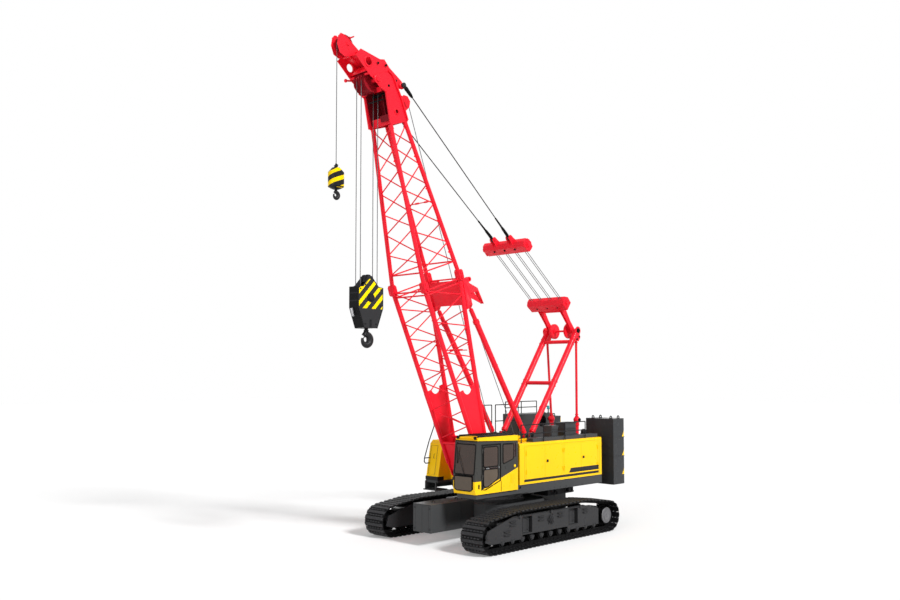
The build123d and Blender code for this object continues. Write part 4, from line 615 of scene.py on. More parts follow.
def makeCab():
    onDoor = onSide(cab["side"] + 0.002)
    seals = Piece("cab_door_seals", "rubber", "cab_door")
    makeWindows((
        (Piece("cab_door_panes", "pane", "cab_door"), "doorWindow", onDoor),
        (Piece("cab_door_low_pane", "lowPaneReflection", "cab_door"), "doorLow", onDoor),
    ), seals, 0.07)
    # the door's own edge strip, handle and lock
    doorEdge = [(1.68, 1.965), (2.335, 1.74), (2.455, 1.745), (2.455, 3.035), (1.68, 3.035)]
    addSeal(seals, doorEdge, onDoor, 0.016)
    seals.done()
    handle = Piece("cab_door_handle", "machined", "cab_door")
    handle.box((2.2, 1.712, 2.335), (2.32, 1.728, 2.375), 0.006)
    grip = ((2.215, 1.725), (2.22, 1.752), (2.3, 1.752), (2.305, 1.725))
    handle.tube([(x, y, 2.355) for x, y in grip], 0.009)
    handle.turned((1.74, 1.712, 2.36), left, (0, 22, 10, 22, 13, 12, 16, 0), 16)
    handle.done()

    panes, seals = Piece("cab_panes", "pane"), Piece("cab_seals", "rubber")
    onFront = lambda u, v, w: cabFront(u, v, w + 0.002)
    makeWindows((
        (panes, "quarter", onDoor),
        (panes, "frontHigh", onFront),
        (Piece("cab_low_pane", "lowPaneReflection"), "frontLow", onFront),
    ), seals, 0.06)
    # gap round the door, roof gutter and the belt line
    for points in (
        [(2.5, 1.73), (2.5, 3.06), (1.655, 3.06), (1.655, 1.95)],
        [(2.72, 3.165), (2.6, 3.165), (0.88, 3.10)],
        [(1.64, 1.95), (1.64, 1.635)],
    ):
        seals.tube([(x, cab["side"], z) for x, z in points], 0.009, 6)
    for x, z, radius in ((2.715, 3.165, 0.012), (2.79, 2.17, 0.007)):
        seals.tube([(x, 0.86, z), (x, 1.7, z)], radius, 8)
    # grip hole and lock
    seals.plate(rounded([(2.6, 1.77), (2.66, 1.79), (2.66, 1.92), (2.6, 1.92)], 0.03), onSide(1.709), 0.012)
    seals.done()
    lock = Piece("cab_lock", "yellow")
    lock.turned((1.01, 1.709, 2.35), left, (0, 45, 12, 45, 20, 34, 22, 14, 30, 0), 20)
    lock.bolts(product((1.0, 1.62), (1.709,), (1.68, 1.9)), left, 11, 8)
    lock.done()
    louvre = Piece("cab_louvre", "yellow")
    louvre.plate(rounded([(1.0, 1.83), (1.2, 1.85), (1.2, 2.12), (1.0, 2.17)], 0.02), onSide(1.708), 0.012)
    for step in range(9):
        z = 1.86 + step * 0.031
        louvre.box((1.012, 1.711, z), (1.188, 1.722, z + 0.018), 0.003)
    louvre.done(smooth=25)

    # wiper and work lamps
    wiper = Piece("cab_wiper", "rubber")
    foot, tip = cabFront(1.3, 2.19, 0.02), cabFront(1.0, 2.85, 0.028)
    wiper.turned(foot - ahead * 0.02, ahead, (0, 28, 30, 25, 35, 12, 40, 0), 16)
    wiper.tube([foot, foot.lerp(tip, 0.5) + ahead * 0.015, tip], [0.009, 0.007, 0.005], 8)
    wiper.box(cabFront(0.985, 2.5, 0.012), cabFront(1.005, 3.0, 0.012) + ahead * 0.07, 0.003)
    for y in (0.93, 1.62):
        wiper.tube([(2.66, y, 3.262), (2.67, y, 3.285)], 0.012, 8)
        wiper.turned((2.645, y, 3.26), ahead, (0, 0, 4, 40, 50, 52, 60, 50, 58, 30, 50, 0), 20)
    wiper.done()

    # roof: pressed ribs, the hatch frame and a guard edge
    roof = Piece("cab_roof_skin", "yellow")
    roof.box((0.9, 0.87, 3.262), (2.6, 1.68, 3.276), 0.006)
    for y in (1.02, 1.52):
        roof.box((0.95, y - 0.03, 3.27), (1.5, y + 0.03, 3.284), 0.006)
    roof.box((2.55, 0.86, 3.235), (2.69, 1.69, 3.262), 0.012)
    roof.done()

    # inside: consoles, levers, screen, pedals and floor mat
    inside = Piece("cab_inside", "plastic")
    inside.boxes(
        ((0.95, 0.92, 1.672), (2.72, 1.63, 1.69), 0.005),
        ((1.25, 0.93, 1.69), (1.85, 1.06, 2.28), 0.03),
        ((1.25, 1.52, 1.69), (1.8, 1.62, 2.2), 0.03),
        ((2.35, 0.95, 2.3), (2.39, 1.15, 2.47), 0.01),
        ((2.35, 1.2, 1.69), (2.5, 1.3, 1.9), 0.015),
    )
    for x, y in ((1.72, 1.0), (1.8, 0.98), (1.72, 1.56)):
        inside.tube([(x, y, 2.2), (x + 0.02, y, 2.33), (x + 0.03, y, 2.36)], [0.012, 0.012, 0.024])
    inside.tube([(2.5, 1.02, 1.69), (2.37, 1.03, 2.32)], 0.02)
    for y in (1.2, 1.36):
        inside.box((2.3, y, 1.72), (2.45, y + 0.1, 1.75), 0.01)
        inside.tube([(2.45, y + 0.05, 1.74), (2.52, y + 0.05, 1.95)], 0.012, 8)
    inside.done()
    makeSeat()


def makeSeat():
    # crowned cushions with seams and rolled sides, on a scissor base
    seat, steps = Piece("cab_seat_cushions", "seat"), 14
    for centre, size, tilt in cab["cushions"]:
        where = Matrix.Translation(Vector(centre)) @ Matrix.Rotation(radians(tilt), 4, "Y")
        for top in (1, -1):
            grid = {}
            for i in range(steps + 1):
                for j in range(steps + 1):
                    u, v = 2 * i / steps - 1, 2 * j / steps - 1
                    edge = (1 - abs(u) ** 5) * (1 - abs(v) ** 5)
                    crown = 0.62 + 0.38 * edge + 0.12 * cos(u * 1.4) * cos(v * 1.5)
                    seam = 0.06 * exp(-((abs(v) - 0.62) ** 2) / 0.004) * edge
                    height = size[2] / 2 * (crown - seam) * (edge ** 0.35 if edge > 0 else 0)
                    spot = Vector((u * size[0] / 2, v * size[1] / 2, top * height))
                    grid[i, j] = seat.bm.verts.new(where @ spot)
            for i in range(steps):
                for j in range(steps):
                    corners = ((i, j), (i + 1, j), (i + 1, j + 1), (i, j + 1))
                    seat.bm.faces.new([grid[corner] for corner in corners])
    bmesh.ops.remove_doubles(seat.bm, verts=seat.bm.verts, dist=0.0005)
    seat.done("cab_seat", 80)
    base = Piece("cab_seat_base", "plastic")
    base.box((1.32, 1.08, 1.69), (1.74, 1.47, 1.8), 0.02)
    for x in (1.38, 1.68):
        for y in (1.1, 1.45):
            base.tube([(x, y, 1.8), (3.06 - x, y, 2.1)], 0.014, 8)
    base.box((1.3, 1.06, 2.09), (1.76, 1.49, 2.13), 0.01)
    base.done()


makeCab()
print("cab made")

houses = {
    "side": 1.6,
    "latches": {"house_door_2": -0.7185, "house_door_4": -2.6485},
    "roofBoxes": [(-1.44, -1.78, 0.44), (-2.15, -2.76, 0.52)],  # front, rear, height
    "beacon": (-4.06, -0.98, 3.725),
    "stack": (-3.9, -1.1, 3.725),
}


def makeHouses():
    # latches of the doors that swing forwards
    for door, x in houses["latches"].items():
        latch = Piece(door + "_latch", "black", door)
        latch.box((x - 0.05, 1.615, 2.34), (x + 0.05, 1.622, 2.42), 0.003)
        latch.box((x - 0.03, 1.62, 2.355), (x + 0.03, 1.636, 2.38), 0.004)
        latch.turned((x + 0.025, 1.62, 2.4), left, (0, 11, 6, 11, 6, 0), 14)
        latch.done()

    side = houses["side"]
    seams = Piece("house_seams", "black")
    for x, y, low, high, radius in (
        (0.4, side, 1.76, 2.92, 0.004), (-3.56, side, 1.76, 2.92, 0.004), (0.66, 0.86, 1.9, 2.9, 0.005)
    ):
        seams.tube([(x, y, low), (x, y, high)], radius, 6)
    seams.done()

    lids = Piece("house_roof_lids", "yellow")
    lids.boxes(
        ((-1.38, 0.86, 2.985), (0.16, 1.2, 3.03), 0.012),
        ((-0.72, 0.9, 3.025), (0.1, 1.14, 3.075), 0.02),
        ((-1.3, 0.9, 3.025), (-0.82, 1.14, 3.06), 0.02),
        ((0.22, 0.84, 2.985), (0.62, 1.5, 3.0), 0.006),
    )
    lids.bolts(product((-1.2, -0.9, -0.5, -0.1), (0.88, 1.18), (3.03,)), up, 12, 10)
    lids.done()

    # the raked right house: door seams, black foot and handle
    right = Piece("right_house_trim", "black")
    door = [(1.41, -1.2, 2.82), (1.57, -1.2, 1.9), (1.57, -1.5, 1.9), (1.41, -1.5, 2.82)]
    right.tube(door + door[:1], 0.005, 6)
    right.box((1.3, -1.605, 1.72), (1.585, -1.045, 1.84), 0.004)
    right.box((-2.2, -1.606, 1.72), (1.45, -1.598, 1.84), 0.002)
    right.tube([(1.53, -1.24, 2.42), (1.57, -1.24, 2.42), (1.55, -1.24, 2.56), (1.51, -1.24, 2.56)], 0.008, 8)
    for x in (0.6, -0.4, -1.4):
        right.tube([(x, -side, 1.86), (x, -side, 2.95)], 0.004, 6)
    right.done()
    makeHood()

    # box lids, louvres and bolts on the left roof
    boxes = Piece("roof_box_trim", "grey")
    for front, rear, height in houses["roofBoxes"]:
        top = 2.99 + height
        boxes.box((rear - 0.02, 0.84, top - 0.03), (front + 0.02, 1.24, top + 0.012), 0.008)
        for step in range(5):
            z = 3.08 + step * 0.055
            boxes.box((rear + 0.05, 1.216, z), (front - 0.05, 1.228, z + 0.025), 0.004)
        boxes.bolts([(x, 1.22, 3.03) for x in (rear + 0.04, front - 0.04)], left, 12, 10)
    boxes.box((-3.6, 1.226, 3.096), (-0.16, 1.48, 3.106), 0.003)
    boxes.done(smooth=25)
    clamp = Piece("roof_clamp", "black")
    clamp.turned((-3.5, 0.95, 3.14), left, (0, 100, 20, 110, 100, 110, 120, 60, 150, 0))
    clamp.box((-3.62, 0.92, 2.992), (-3.38, 1.1, 3.1), 0.015)
    clamp.tube([(-3.3, 0.95, 3.05), (-2.95, 1.0, 3.12), (-2.8, 0.95, 3.03)], 0.03, 12)
    clamp.done()


def makeHood():
    # door seams, vents, exhaust stack and beacon
    hood = Piece("hood_trim", "grey")
    for x in (-2.9, -3.55):
        hood.tube([(x, -1.6, 1.8), (x, -1.6, 3.66)], 0.004, 6)
    for step in range(14):
        z = 2.55 + step * 0.07
        hood.box((-3.48, -1.612, z), (-2.97, -1.598, z + 0.03), 0.004)
        hood.box((-2.252, -1.45, z), (-2.238, -1.0, z + 0.03), 0.004)
    hood.tube([(-4.1, -0.865, 3.2), (-2.3, -0.865, 3.2)], 0.004, 6)
    hood.done(smooth=25)
    stack = Piece("exhaust", "link")
    silencer = (-100, 190, 90, 190, 95, 200, 120, 200, 120, 160, 0, 150, -60, 0)
    stack.turned((-3.55, -0.95, 3.465), left, silencer, 32)
    for step in range(5):
        z = 3.33 + step * 0.068
        stack.box((-3.7, -0.87, z - 0.006), (-3.4, -0.845, z + 0.006), 0.002)
    foot = Vector(houses["stack"])
    stack.turned(foot, up, (0, 100, 20, 100, 20, 60, 160, 60))
    bend = ((0, 0.135), (0, 0.195), (-0.07, 0.245), (-0.18, 0.265))
    stack.tube([foot + Vector((x, 0, z)) for x, z in bend], [0.055, 0.055, 0.055, 0.06], 16)
    stack.done()
    lamp, lens = Piece("beacon_foot", "black"), Piece("beacon_lens", "beacon")
    foot = Vector(houses["beacon"])
    lamp.turned(foot, up, (0, 50, 15, 50, 20, 20, 130, 20, 135, 50, 150, 52), 20)
    lamp.done()
    lens.turned(foot + up * 0.15, up, (0, 50, 20, 48, 80, 44, 110, 30, 118, 0))
    lens.done()


deck = {
    "drums": [("main_drum", -0.06, 290), ("aux_drum", -1.69, 290), ("luffing_drum", -2.5, 250)],
    "drumZ": 2.09,
    "drumHalf": 474.5,  # millimetres, as the rope's pitch
    "ropePitch": 26,
}


def makeDrums():
    # rope wound on the three drums, with their end flanges' bolts
    half, pitch = deck["drumHalf"], deck["ropePitch"]
    for name, x, radius in deck["drums"]:
        wound = Piece(name + "_rope", "wire", name)
        profile = [75 - half, radius - 20]
        for turn in range(int(2 * (half - 80) / pitch)):
            y = 80 - half + turn * pitch
            profile += [y, radius - 8, y + pitch * 0.25, radius + 1, y + pitch * 0.75, radius + 1]
        wound.turned((x, 0, deck["drumZ"]), left, profile + [half - 75, radius - 20], 40)
        wound.done(smooth=60)
        nuts = Piece(name + "_bolts", "disc", name)
        nuts.bolts([(x + u, half / 1000 + 0.004, deck["drumZ"] + v) for u, v in hoop(0.1, 8)], left, 12, 12)
        nuts.mirror()
        nuts.done()


def makeDeck():
    # feet of the gantry and the backstops: dark cheeks with pins and nuts
    feet = Piece("gantry_feet", "black")
    for x, y, z in ((-1.09, 0.61, 3.12), (-0.73, 0.69, 3.11)):
        for out in (1, -1):
            feet.turned((x, y + out * 0.076, z), left * out, (0, 65, 12, 65, 14, 45, 30, 43, 34, 0), 20)
    feet.bolts(product((-1.32, -1.2, -0.62, -0.5), (0.765,), (1.8, 2.1, 2.5)), left, 14, 12)
    for x in (-1.23, -0.95, -0.87, -0.6):
        feet.block((x, 0.65, 3.015), (0.012, 0.11, 0.045), 0.004)
    feet.box((-1.32, 0.53, 2.96), (-0.5, 0.77, 2.985), 0.006)
    feet.mirror()
    feet.done()

    # hoses from the deck to the winches, and tread plate between the girders
    hoses = Piece("deck_hoses", "rubber")
    for step in range(6):
        y = -0.4 + step * 0.16
        run = ((-0.62, 1, 1.73), (-0.66, 1, 1.95), (-0.85, 0.9, 2.05), (-1.1, 0.7, 1.98), (-1.25, 0.6, 1.74))
        hoses.tube([(x, y * share, z) for x, share, z in run], 0.018, 8)
    for y in (-0.75, -0.7, 0.72):
        hoses.tube([(0.6, y, 1.74), (0.4, y, 1.85), (-0.1, y, 1.83), (-0.35, y, 1.76)], 0.022, 8)
    hoses.done()
    edges = Piece("deck_edges", "grey")
    edges.bolts([(-3.5 + step * 0.3, 1.601, 1.5) for step in range(14)], left, 12, 10)
    edges.boxes(
        ((-3.7, 1.594, 1.44), (0.65, 1.606, 1.456), 0.003),
        ((-3.7, 1.592, 1.7), (0.65, 1.608, 1.722), 0.003),
    )
    edges.mirror()
    for x1, x2, y1, y2 in ((-0.5, 0.7, 0.56, 0.63), (0.66, 0.73, 0.84, 1.58)):
        edges.box((x1, y1, 1.72), (x2, y2, 1.726), 0.002)
    edges.done()

    # what hangs below the deck: tank, valve bank and the swing drive
    below = Piece("deck_underside", "black")
    below.boxes(
        ((-2.5, 0.72, 1.2), (-1.1, 1.3, 1.442), 0.02),
        ((-2.45, -1.3, 1.22), (-1.15, -0.72, 1.442), 0.02),
        ((-1.75, 1.29, 1.25), (-1.45, 1.33, 1.4), 0.01),
        ((0.75, 0.95, 1.44), (2.6, 1.6, 1.49), 0.01),
    )
    below.turned((-2.2, 1.32, 1.32), left, (-30, 80, 20, 80, 30, 50, 50, 0), 20)
    for x in (-1.3, -1.5, -1.95, -2.35):
        run = [(x, 1.31, 1.43), (x, 1.34, 1.33), (x - 0.1, 1.34, 1.24), (x - 0.15, 1.28, 1.22)]
        below.tube(run, 0.014, 8)
    for y in (0.95, 1.25, 1.5):
        below.tube([(0.9, y, 1.47), (1.4, y, 1.44), (2.2, y, 1.47)], 0.02, 8)
    below.done()


counterweight = {"inner": {1: 0.6, -1: 1.1}, "seams": (2.3, 2.95), "outer": 1.7, "lugX": (-4.35, -4.8)}


def makeCounterweight():
    slabs = Piece("counterweight_trim", "black")
    for side, inner in counterweight["inner"].items():
        for z in counterweight["seams"]:
            slabs.box((-4.9, side * 1.751 - 0.003, z), (-4.22, side * 1.751 + 0.003, z + 0.008), 0.001)
            low, high = sorted((side * inner, side * counterweight["outer"]))
            slabs.box((-4.203, low + 0.02, z), (-4.197, high, z + 0.008), 0.001)
            slabs.box((-4.9603, low + 0.02, z), (-4.955, high - 0.1, z + 0.008))
        # lifting lugs with their round eyes
        for x in counterweight["lugX"]:
            for y in (side * (inner + 0.2), side * 1.55):
                eye = [(x + u, y, 3.62 + v) for u, v in arc(0.055, 0, 2, 16)]
                slabs.tube(eye, 0.018, 8, closed=False)
                slabs.turned((x, y, 3.588), up, (0, 60, 12, 60, 16, 40, 16, 0), 20)
    for y in (-1.4, -0.5, 0.5, 1.4):
        slabs.turned((-4.58, y, 1.33), -up, (0, 70, 20, 70, 20, 40, 50, 40, 50, 0), 20)
    slabs.done()


makeHouses()
makeDrums()
makeDeck()
makeCounterweight()
print("houses, deck and counterweight made")

boom = {
    "angle": 71.3,
    "foot": (1.03, 0, 1.72),
    "footDepth": 0.12,
    "halfWidth": 0.69,
    "jointT": 6.54,
    "jointDepth": 0.78,
    "headT": 11.33,
    "headDepth": 0.3,
    "headWidth": 0.385,
    "barRadius": 0.019,
    "panelShift": 0.78,
    # section, first station, bays, pitch
    "lacing": [("base", 1.56, 10, 0.486), ("top", 6.99, 7, 0.609)],
    "wedge": [(-0.78, 6.25), (-1.05, 6.02), (-1.235, 5.85), (-1.42, 5.47), (-0.86, 5.88), (-0.74, 5.74)],
}
lean = radians(boom["angle"])
boomAlong = Vector((cos(lean), 0, sin(lean)))
boomFront = Vector((sin(lean), 0, -cos(lean)))


def onBoom(n, y, t):
    # a point n before the boom's axis and t along it
    return Vector(boom["foot"]) + boomFront * n + boomAlong * t + Vector((0, y, 0))


def boomSide(y):
    return lambda u, v, w: onBoom(u, y + w, v)


def acrossBoom(n, t, reach):
    return [onBoom(n, -reach, t), onBoom(n, reach, t)]


def boomSize(t):
    # half depth and half width between the chords' axes
    share = max(0, (t - boom["jointT"]) / (boom["headT"] - boom["jointT"]))
    width = boom["halfWidth"] + (boom["headWidth"] - boom["halfWidth"]) * share
    if t < boom["jointT"]:
        return boom["footDepth"] + (boom["jointDepth"] - boom["footDepth"]) * t / boom["jointT"], width
    return boom["jointDepth"] + (boom["headDepth"] - boom["jointDepth"]) * share, width


def makeBoom():
    trim = Piece("boom_trim", "red", "boom")
    half = boom["halfWidth"]
    for end in (1, -1):
        n, t = end * boom["jointDepth"], boom["jointT"]
        # fork ears and the cross pins of the section joint
        ear = [(n + u, t - 0.09 + v) for u, v in arc(0.09, 1, 2, 10)]
        ear += [(n + 0.09, t + 0.1), (n + 0.05, t + 0.16), (n - 0.05, t + 0.16), (n - 0.09, t + 0.1)]
        for out in (1, -1):
            trim.plate(ear, boomSide(half + out * 0.085), 0.034)
            axis, y = left * out, half + out * 0.1
            trim.turned(onBoom(n, y, t - 0.08), axis, (0, 50, 30, 50, 34, 35, 50, 33, 52, 0), 20)
            trim.turned(onBoom(n, y, t + 0.07), axis, (0, 40, 20, 40, 24, 0), 16)
        # the upper section's sleeve at the head
        n, y, t = end * boom["headDepth"], boom["headWidth"], boom["headT"]
        trim.turned(onBoom(n, y, t - 0.15), boomAlong, (0, 64, 10, 78, 30, 78, 40, 64))
        trim.bolts([onBoom(n, y + 0.07, t + 0.05 + i * 0.09) for i in range(2)], left, 20, 18)
        # flange along the foot plate's edge
        points = [onBoom(end * (boomSize(t)[0] + 0.01), half, t) for t in (0.25, 1.2, 2.2, 3.1)]
        trim.tube(points, [0.03, 0.045, 0.06, 0.07], 14)
    # the foot pin's keeper
    keeper = (0, 100, 12, 100, 14, 75, 30, 72, 30, 50, 50, 48, 52, 0)
    trim.turned(onBoom(0, half + 0.05, 0), left, keeper)
    spots = [onBoom(0.075 * cos(angle), half + 0.062, 0.075 * sin(angle)) for angle in (0.5, 2.6)]
    trim.bolts(spots, left, 12, 10)
    # small gussets where the lacing meets the rear chord
    for t in (3.6, 4.4, 5.2, 7.3, 8.3, 9.3, 10.3):
        depth, width = boomSize(t)
        trim.plate([(-depth, t - 0.11), (-depth + 0.13, t), (-depth, t + 0.11)], boomSide(width), 0.012)
    # cross bars on both sides of the section joint and the filled wedge behind it
    bars = [(t, boomSize(t)[0], 0.01) for t in (6.3, 6.43)] + [(6.98, 0.735, 0)]
    for t, depth, inset in bars:
        trim.tube([onBoom(-depth + 0.05, half, t), onBoom(depth - 0.05, half, t)], 0.022, 12)
    trim.plate(boom["wedge"], boomSide(half), 0.05)
    trim.mirror()
    for end in (1, -1):
        for t, depth, inset in bars:
            trim.tube(acrossBoom(end * (depth - inset), t, 0.64), 0.024, 12)
        # closing plates between the foot plates, with a cross tube above
        spots = ((0.42, -0.672), (0.42, 0.672), (1.34, 0.672), (1.34, -0.672))
        outer = [onBoom(end * (boomSize(t)[0] - 0.01), y, t) for t, y in spots]
        trim.prism(outer, [point - boomFront * end * 0.014 for point in outer])
        trim.tube(acrossBoom(end * boomSize(1.4)[0], 1.4, 0.67), 0.045, 16)
    # rope rollers on the boom's back and their brackets
    for t in (4.2, 8.9):
        depth = boomSize(t)[0]
        for y in (-0.2, 0.2):
            trim.tube([onBoom(-depth - 0.05, y - 0.07, t), onBoom(-depth - 0.05, y + 0.07, t)], 0.03, 14)
        trim.tube(acrossBoom(-depth - 0.02, t, 0.5), 0.016)
    trim.done()


head = {
    # raised flanges of the lower plate
    "flanges": [
        [(-0.04, 12.84), (-0.16, 12.7), (-0.29, 12.0), (-0.34, 11.36)],
        [(0.36, 11.36), (0.31, 11.8), (0.25, 12.27), (0.42, 12.42)],
    ],
    # doublers: n, y, t, radius and bore in millimetres
    "doublers": [(0.6, 0.427, 13.17, 165, 121), (0.44, 0.455, 12.64, 130, 0), (0.0, 0.455, 11.66, 90, 61)],
    "rooster": [
        (0.6, 13.42), (1.18, 13.42), (1.33, 13.55), (1.345, 13.8), (1.24, 13.99), (1.12, 14.06),
        (0.98, 13.98), (0.6, 13.5),
    ],
    "mainPin": (0.44, 0, 12.64),
    "auxPin": (0.965, 0, 13.76),
    "pendantPin": (-0.44, 0, 12.36),
}


def makeHead():
    trim, dark = Piece("boom_head_trim", "red", "boom"), Piece("boom_head_bolts", "link", "boom")
    # plates inside the head, in a dark red that stands for painted shade
    inside = Piece("boom_head_shade_plates", "shadeMaroon", "boom")
    for line in head["flanges"]:
        trim.strip(line, 0.02, boomSide(0.475), 0.05)
    # doubler plates round the bores with their bolts
    for n, y, t, radius, bore in head["doublers"]:
        profile = (0, bore, 0, radius, 12, radius, 16, radius - 6, 16, bore)
        boss = (0, radius, 12, radius, 16, radius - 6, 18, 75, 50, 70, 52, 0)
        trim.turned(onBoom(n, y, t), left, profile if bore else boss, 28, loop=bore > 0)
        spots = [onBoom(n + u, y + 0.014, t + v) for u, v in hoop(radius / 1000 - 0.022, 8)]
        trim.bolts(spots, left, 11, 10)
    for n, t in ((0.28, 13.09), (-0.01, 13.0), (0.07, 12.42), (-0.26, 12.53)):
        dark.turned(onBoom(n, 0.456, t), left, (0, 38, 10, 38, 12, 24, 30, 22, 32, 0), 16)
    # pin boss at the pendant
    trim.turned(onBoom(-0.44, 0.43, 12.36), left, (0, 100, 50, 95, 60, 78))
    # rooster plates over the auxiliary sheave, with stiffening edge
    rooster = head["rooster"]
    trim.plate(rooster, boomSide(0.138), 0.014)
    for (n1, t1), (n2, t2) in zip(rooster[4:], rooster[5:]):
        trim.tube([onBoom(n1, 0.14, t1), onBoom(n2, 0.14, t2)], 0.014, 8)
    trim.bolts([onBoom(0.98, 0.146, 13.62), onBoom(1.2, 0.146, 13.68)], left, 18, 16)
    trim.turned(onBoom(0.965, 0.14, 13.76), left, (0, 75, 12, 75, 14, 50, 35, 48, 37, 0))
    # bolts and spacers of the guide sheaves' brackets
    for out in (0.055, -0.055):
        spots = [onBoom(-0.64 + u, 0.2 + out, 11.9 + v) for u, v in hoop(0.1, 6)]
        trim.bolts(spots, left * out, 12, 10)
    for n, t in ((-0.56, 11.66), (-0.72, 12.06)):
        trim.tube([onBoom(n, 0.14, t), onBoom(n, 0.26, t)], 0.024, 12)
    # band plates and stub tubes
    trim.plate([(0.36, 12.3), (0.35, 12.44), (0.37, 12.44), (0.38, 12.3)], boomSide(0.32), 0.21)
    trim.tube([onBoom(0.66, 0.22, 12.85), onBoom(0.66, 0.4, 12.85)], 0.035, 14)
    # dark red sheets on the inner faces of the side plates: painted shade
    cheek = [(-0.27, 11.42), (0.29, 11.42), (0.24, 12.25), (0.3, 12.4), (-0.22, 12.4)]
    inside.plate(cheek, boomSide(0.418), 0.006)
    for piece in (trim, dark, inside):
        piece.mirror()
    # cover plate in front of the main sheaves and the cross tubes of the head
    trim.plate([(0.66, 12.96), (0.42, 13.1), (0.41, 13.07), (0.64, 12.93)], boomSide(0), 0.78)
    pins = ((1.0, 13.42, 0.03, 0.13), (-0.12, 12.9, 0.04, 0.4), (0.66, 13.94, 0.02, 0.13))
    for n, t, radius, reach in pins:
        trim.tube(acrossBoom(n, t, reach), radius, 14)
    guard = [onBoom(1.0, 0, 13.95), onBoom(0.78, 0, 13.97), onBoom(0.68, 0, 13.93)]
    trim.tube(guard, [0.02, 0.02, 0.035], 12)
    trim.done()
    # inside the head: rope guard and rollers, then the rear plate, guide box and web in dark red as painted
    # shade
    dark.box((-0.38, -0.34, -0.02), (-0.36, 0.34, 0.02), 0.004, Matrix.Translation(onBoom(0.62, 0, 12.2)))
    for t in (11.55, 12.25):
        dark.tube(acrossBoom(-0.05, t, 0.41), 0.05, 16)
    dark.done()
    for outline, y, depth in (
        ([(-0.28, 11.42), (-0.27, 11.42), (-0.19, 12.35), (-0.2, 12.35)], 0, 0.82),
        ([(-0.1, 11.46), (0.3, 11.46), (0.3, 11.64), (-0.1, 11.64)], 0.2, 0.36),
        ([(0.0, 11.64), (0.2, 11.64), (0.16, 12.22), (0.0, 12.22)], 0.18, 0.02),
    ):
        inside.plate(outline, boomSide(y), depth)
    inside.done()


wheels = {
    "width": 70,
    # name, centre, rows, radius and hub in millimetres, body
    "sets": [
        ("main_sheaves", onBoom(*head["mainPin"]), (-0.2, -0.1, 0, 0.1, 0.2), 304, 56, "main_sheaves"),
        ("aux_sheave", onBoom(*head["auxPin"]), (0,), 259, 41, "aux_sheave"),
        ("block_sheaves", Vector((blockAt[0], 0, blockAt[1])), (-0.1, 0.1), 304, 51, "hook_block"),
    ],
}


def makeWheels():
    # rope wheels: hub, dished web with a step, and the grooved rim, in red paint darkened as painted shade
    half = wheels["width"] / 2
    for name, centre, rows, radius, hub, body in wheels["sets"]:
        flank = [
            (1.2, hub), (1.2, hub + 30), (0.35, hub + 35), (0.3, radius * 0.74), (0.9, radius * 0.78),
            (1, radius + 28), (0.7, radius + 28), (0.35, radius - 4),
        ]
        turned = [(-share, reach) for share, reach in flank] + [(0, radius - 12)] + flank[::-1]
        profile = [number for share, reach in turned for number in (share * half, reach)]
        wheel = Piece(name + "_wheels", "shadedSheaveRed", body)
        for y in rows:
            wheel.turned(centre + left * y, left, profile, 48)
        wheel.done(name)


def mendBracket():
    # the bracket's cross panel belongs beside the section joint, higher up the boom
    plates = Piece("boom_joint_plates", "red", "boom")
    bm = plates.bm
    bm.from_mesh(nodes["boom_joint_bracket"].data)
    bmesh.ops.remove_doubles(bm, verts=bm.verts, dist=0.00001)
    waiting = set(bm.verts)
    while waiting:
        island, edge = set(), [waiting.pop()]
        while edge:
            vert = edge.pop()
            island.add(vert)
            for other in (link.other_vert(vert) for link in vert.link_edges):
                if other in waiting:
                    waiting.discard(other)
                    edge.append(other)
        if min(vert.co.y for vert in island) < 0 < max(vert.co.y for vert in island):
            bmesh.ops.translate(bm, verts=list(island), vec=boomAlong * boom["panelShift"])
    plates.done("boom_joint_bracket")


def boomCorner(t, end, side):
    # on the axis of a chord: end 1 is the front, side 1 the left
    depth, width = boomSize(t)
    return onBoom(end * depth, side * width, t)


def makeLacing():
    # zigzag bars; neighbouring faces meet a chord at alternate stations
    faces = (((1, -1), (1, 1)), ((1, 1), (-1, 1)), ((-1, 1), (-1, -1)), ((-1, -1), (1, -1)))
    for name, start, bays, pitch in boom["lacing"]:
        bars = Piece("boom_" + name + "_bars", "red", "boom")
        for index, face in enumerate(faces):
            for step in range(bays):
                low, high = start + pitch * step, start + pitch * (step + 1)
                if name == "base" and (index % 2 == 1 and low < 2.9 or index == 2 and high > 5.6):
                    continue
                first, last = boomCorner(low, *face[step % 2]), boomCorner(high, *face[(step + 1) % 2])
                inward = (last - first).normalized() * 0.03
                bars.tube([first + inward, last - inward], boom["barRadius"])
        bars.done("boom_" + name + "_lacing")


makeBoom()
makeLacing()
mendBracket()
makeHead()
makeWheels()
print("boom made")

tackle = {
    "bailPoint": (-2.87, 0, 7.6),
    "spreaderEye": 3.24,
    "gantryTop": (-3.6, 0.64, 6.62),
    "bailHead": (-2.93, 0.47, 7.54),
    # name, half width, place along the ropes, facing, lower edge
    "ends": [("gantry_bail", 0.79, 0.0, 1, -0.18), ("spreader", 0.9, 2.84, -1, -0.19)],
    "cover": [(-0.16, -0.15), (0.14, -0.17), (0.21, -0.05), (0.21, 0.08), (0.05, 0.18), (-0.16, 0.14)],
}
ropeRun = onBoom(*head["pendantPin"]) - Vector(tackle["bailPoint"])
ropeAlong = ropeRun.normalized()
ropeUp = Vector((-ropeAlong.z, 0, ropeAlong.x))


def onRope(along, up, y):
    return Vector(tackle["bailPoint"]) + ropeAlong * along + ropeUp * up + Vector((0, y, 0))


def ropeSide(y):
    return lambda u, v, w: onRope(u, v, y + w)


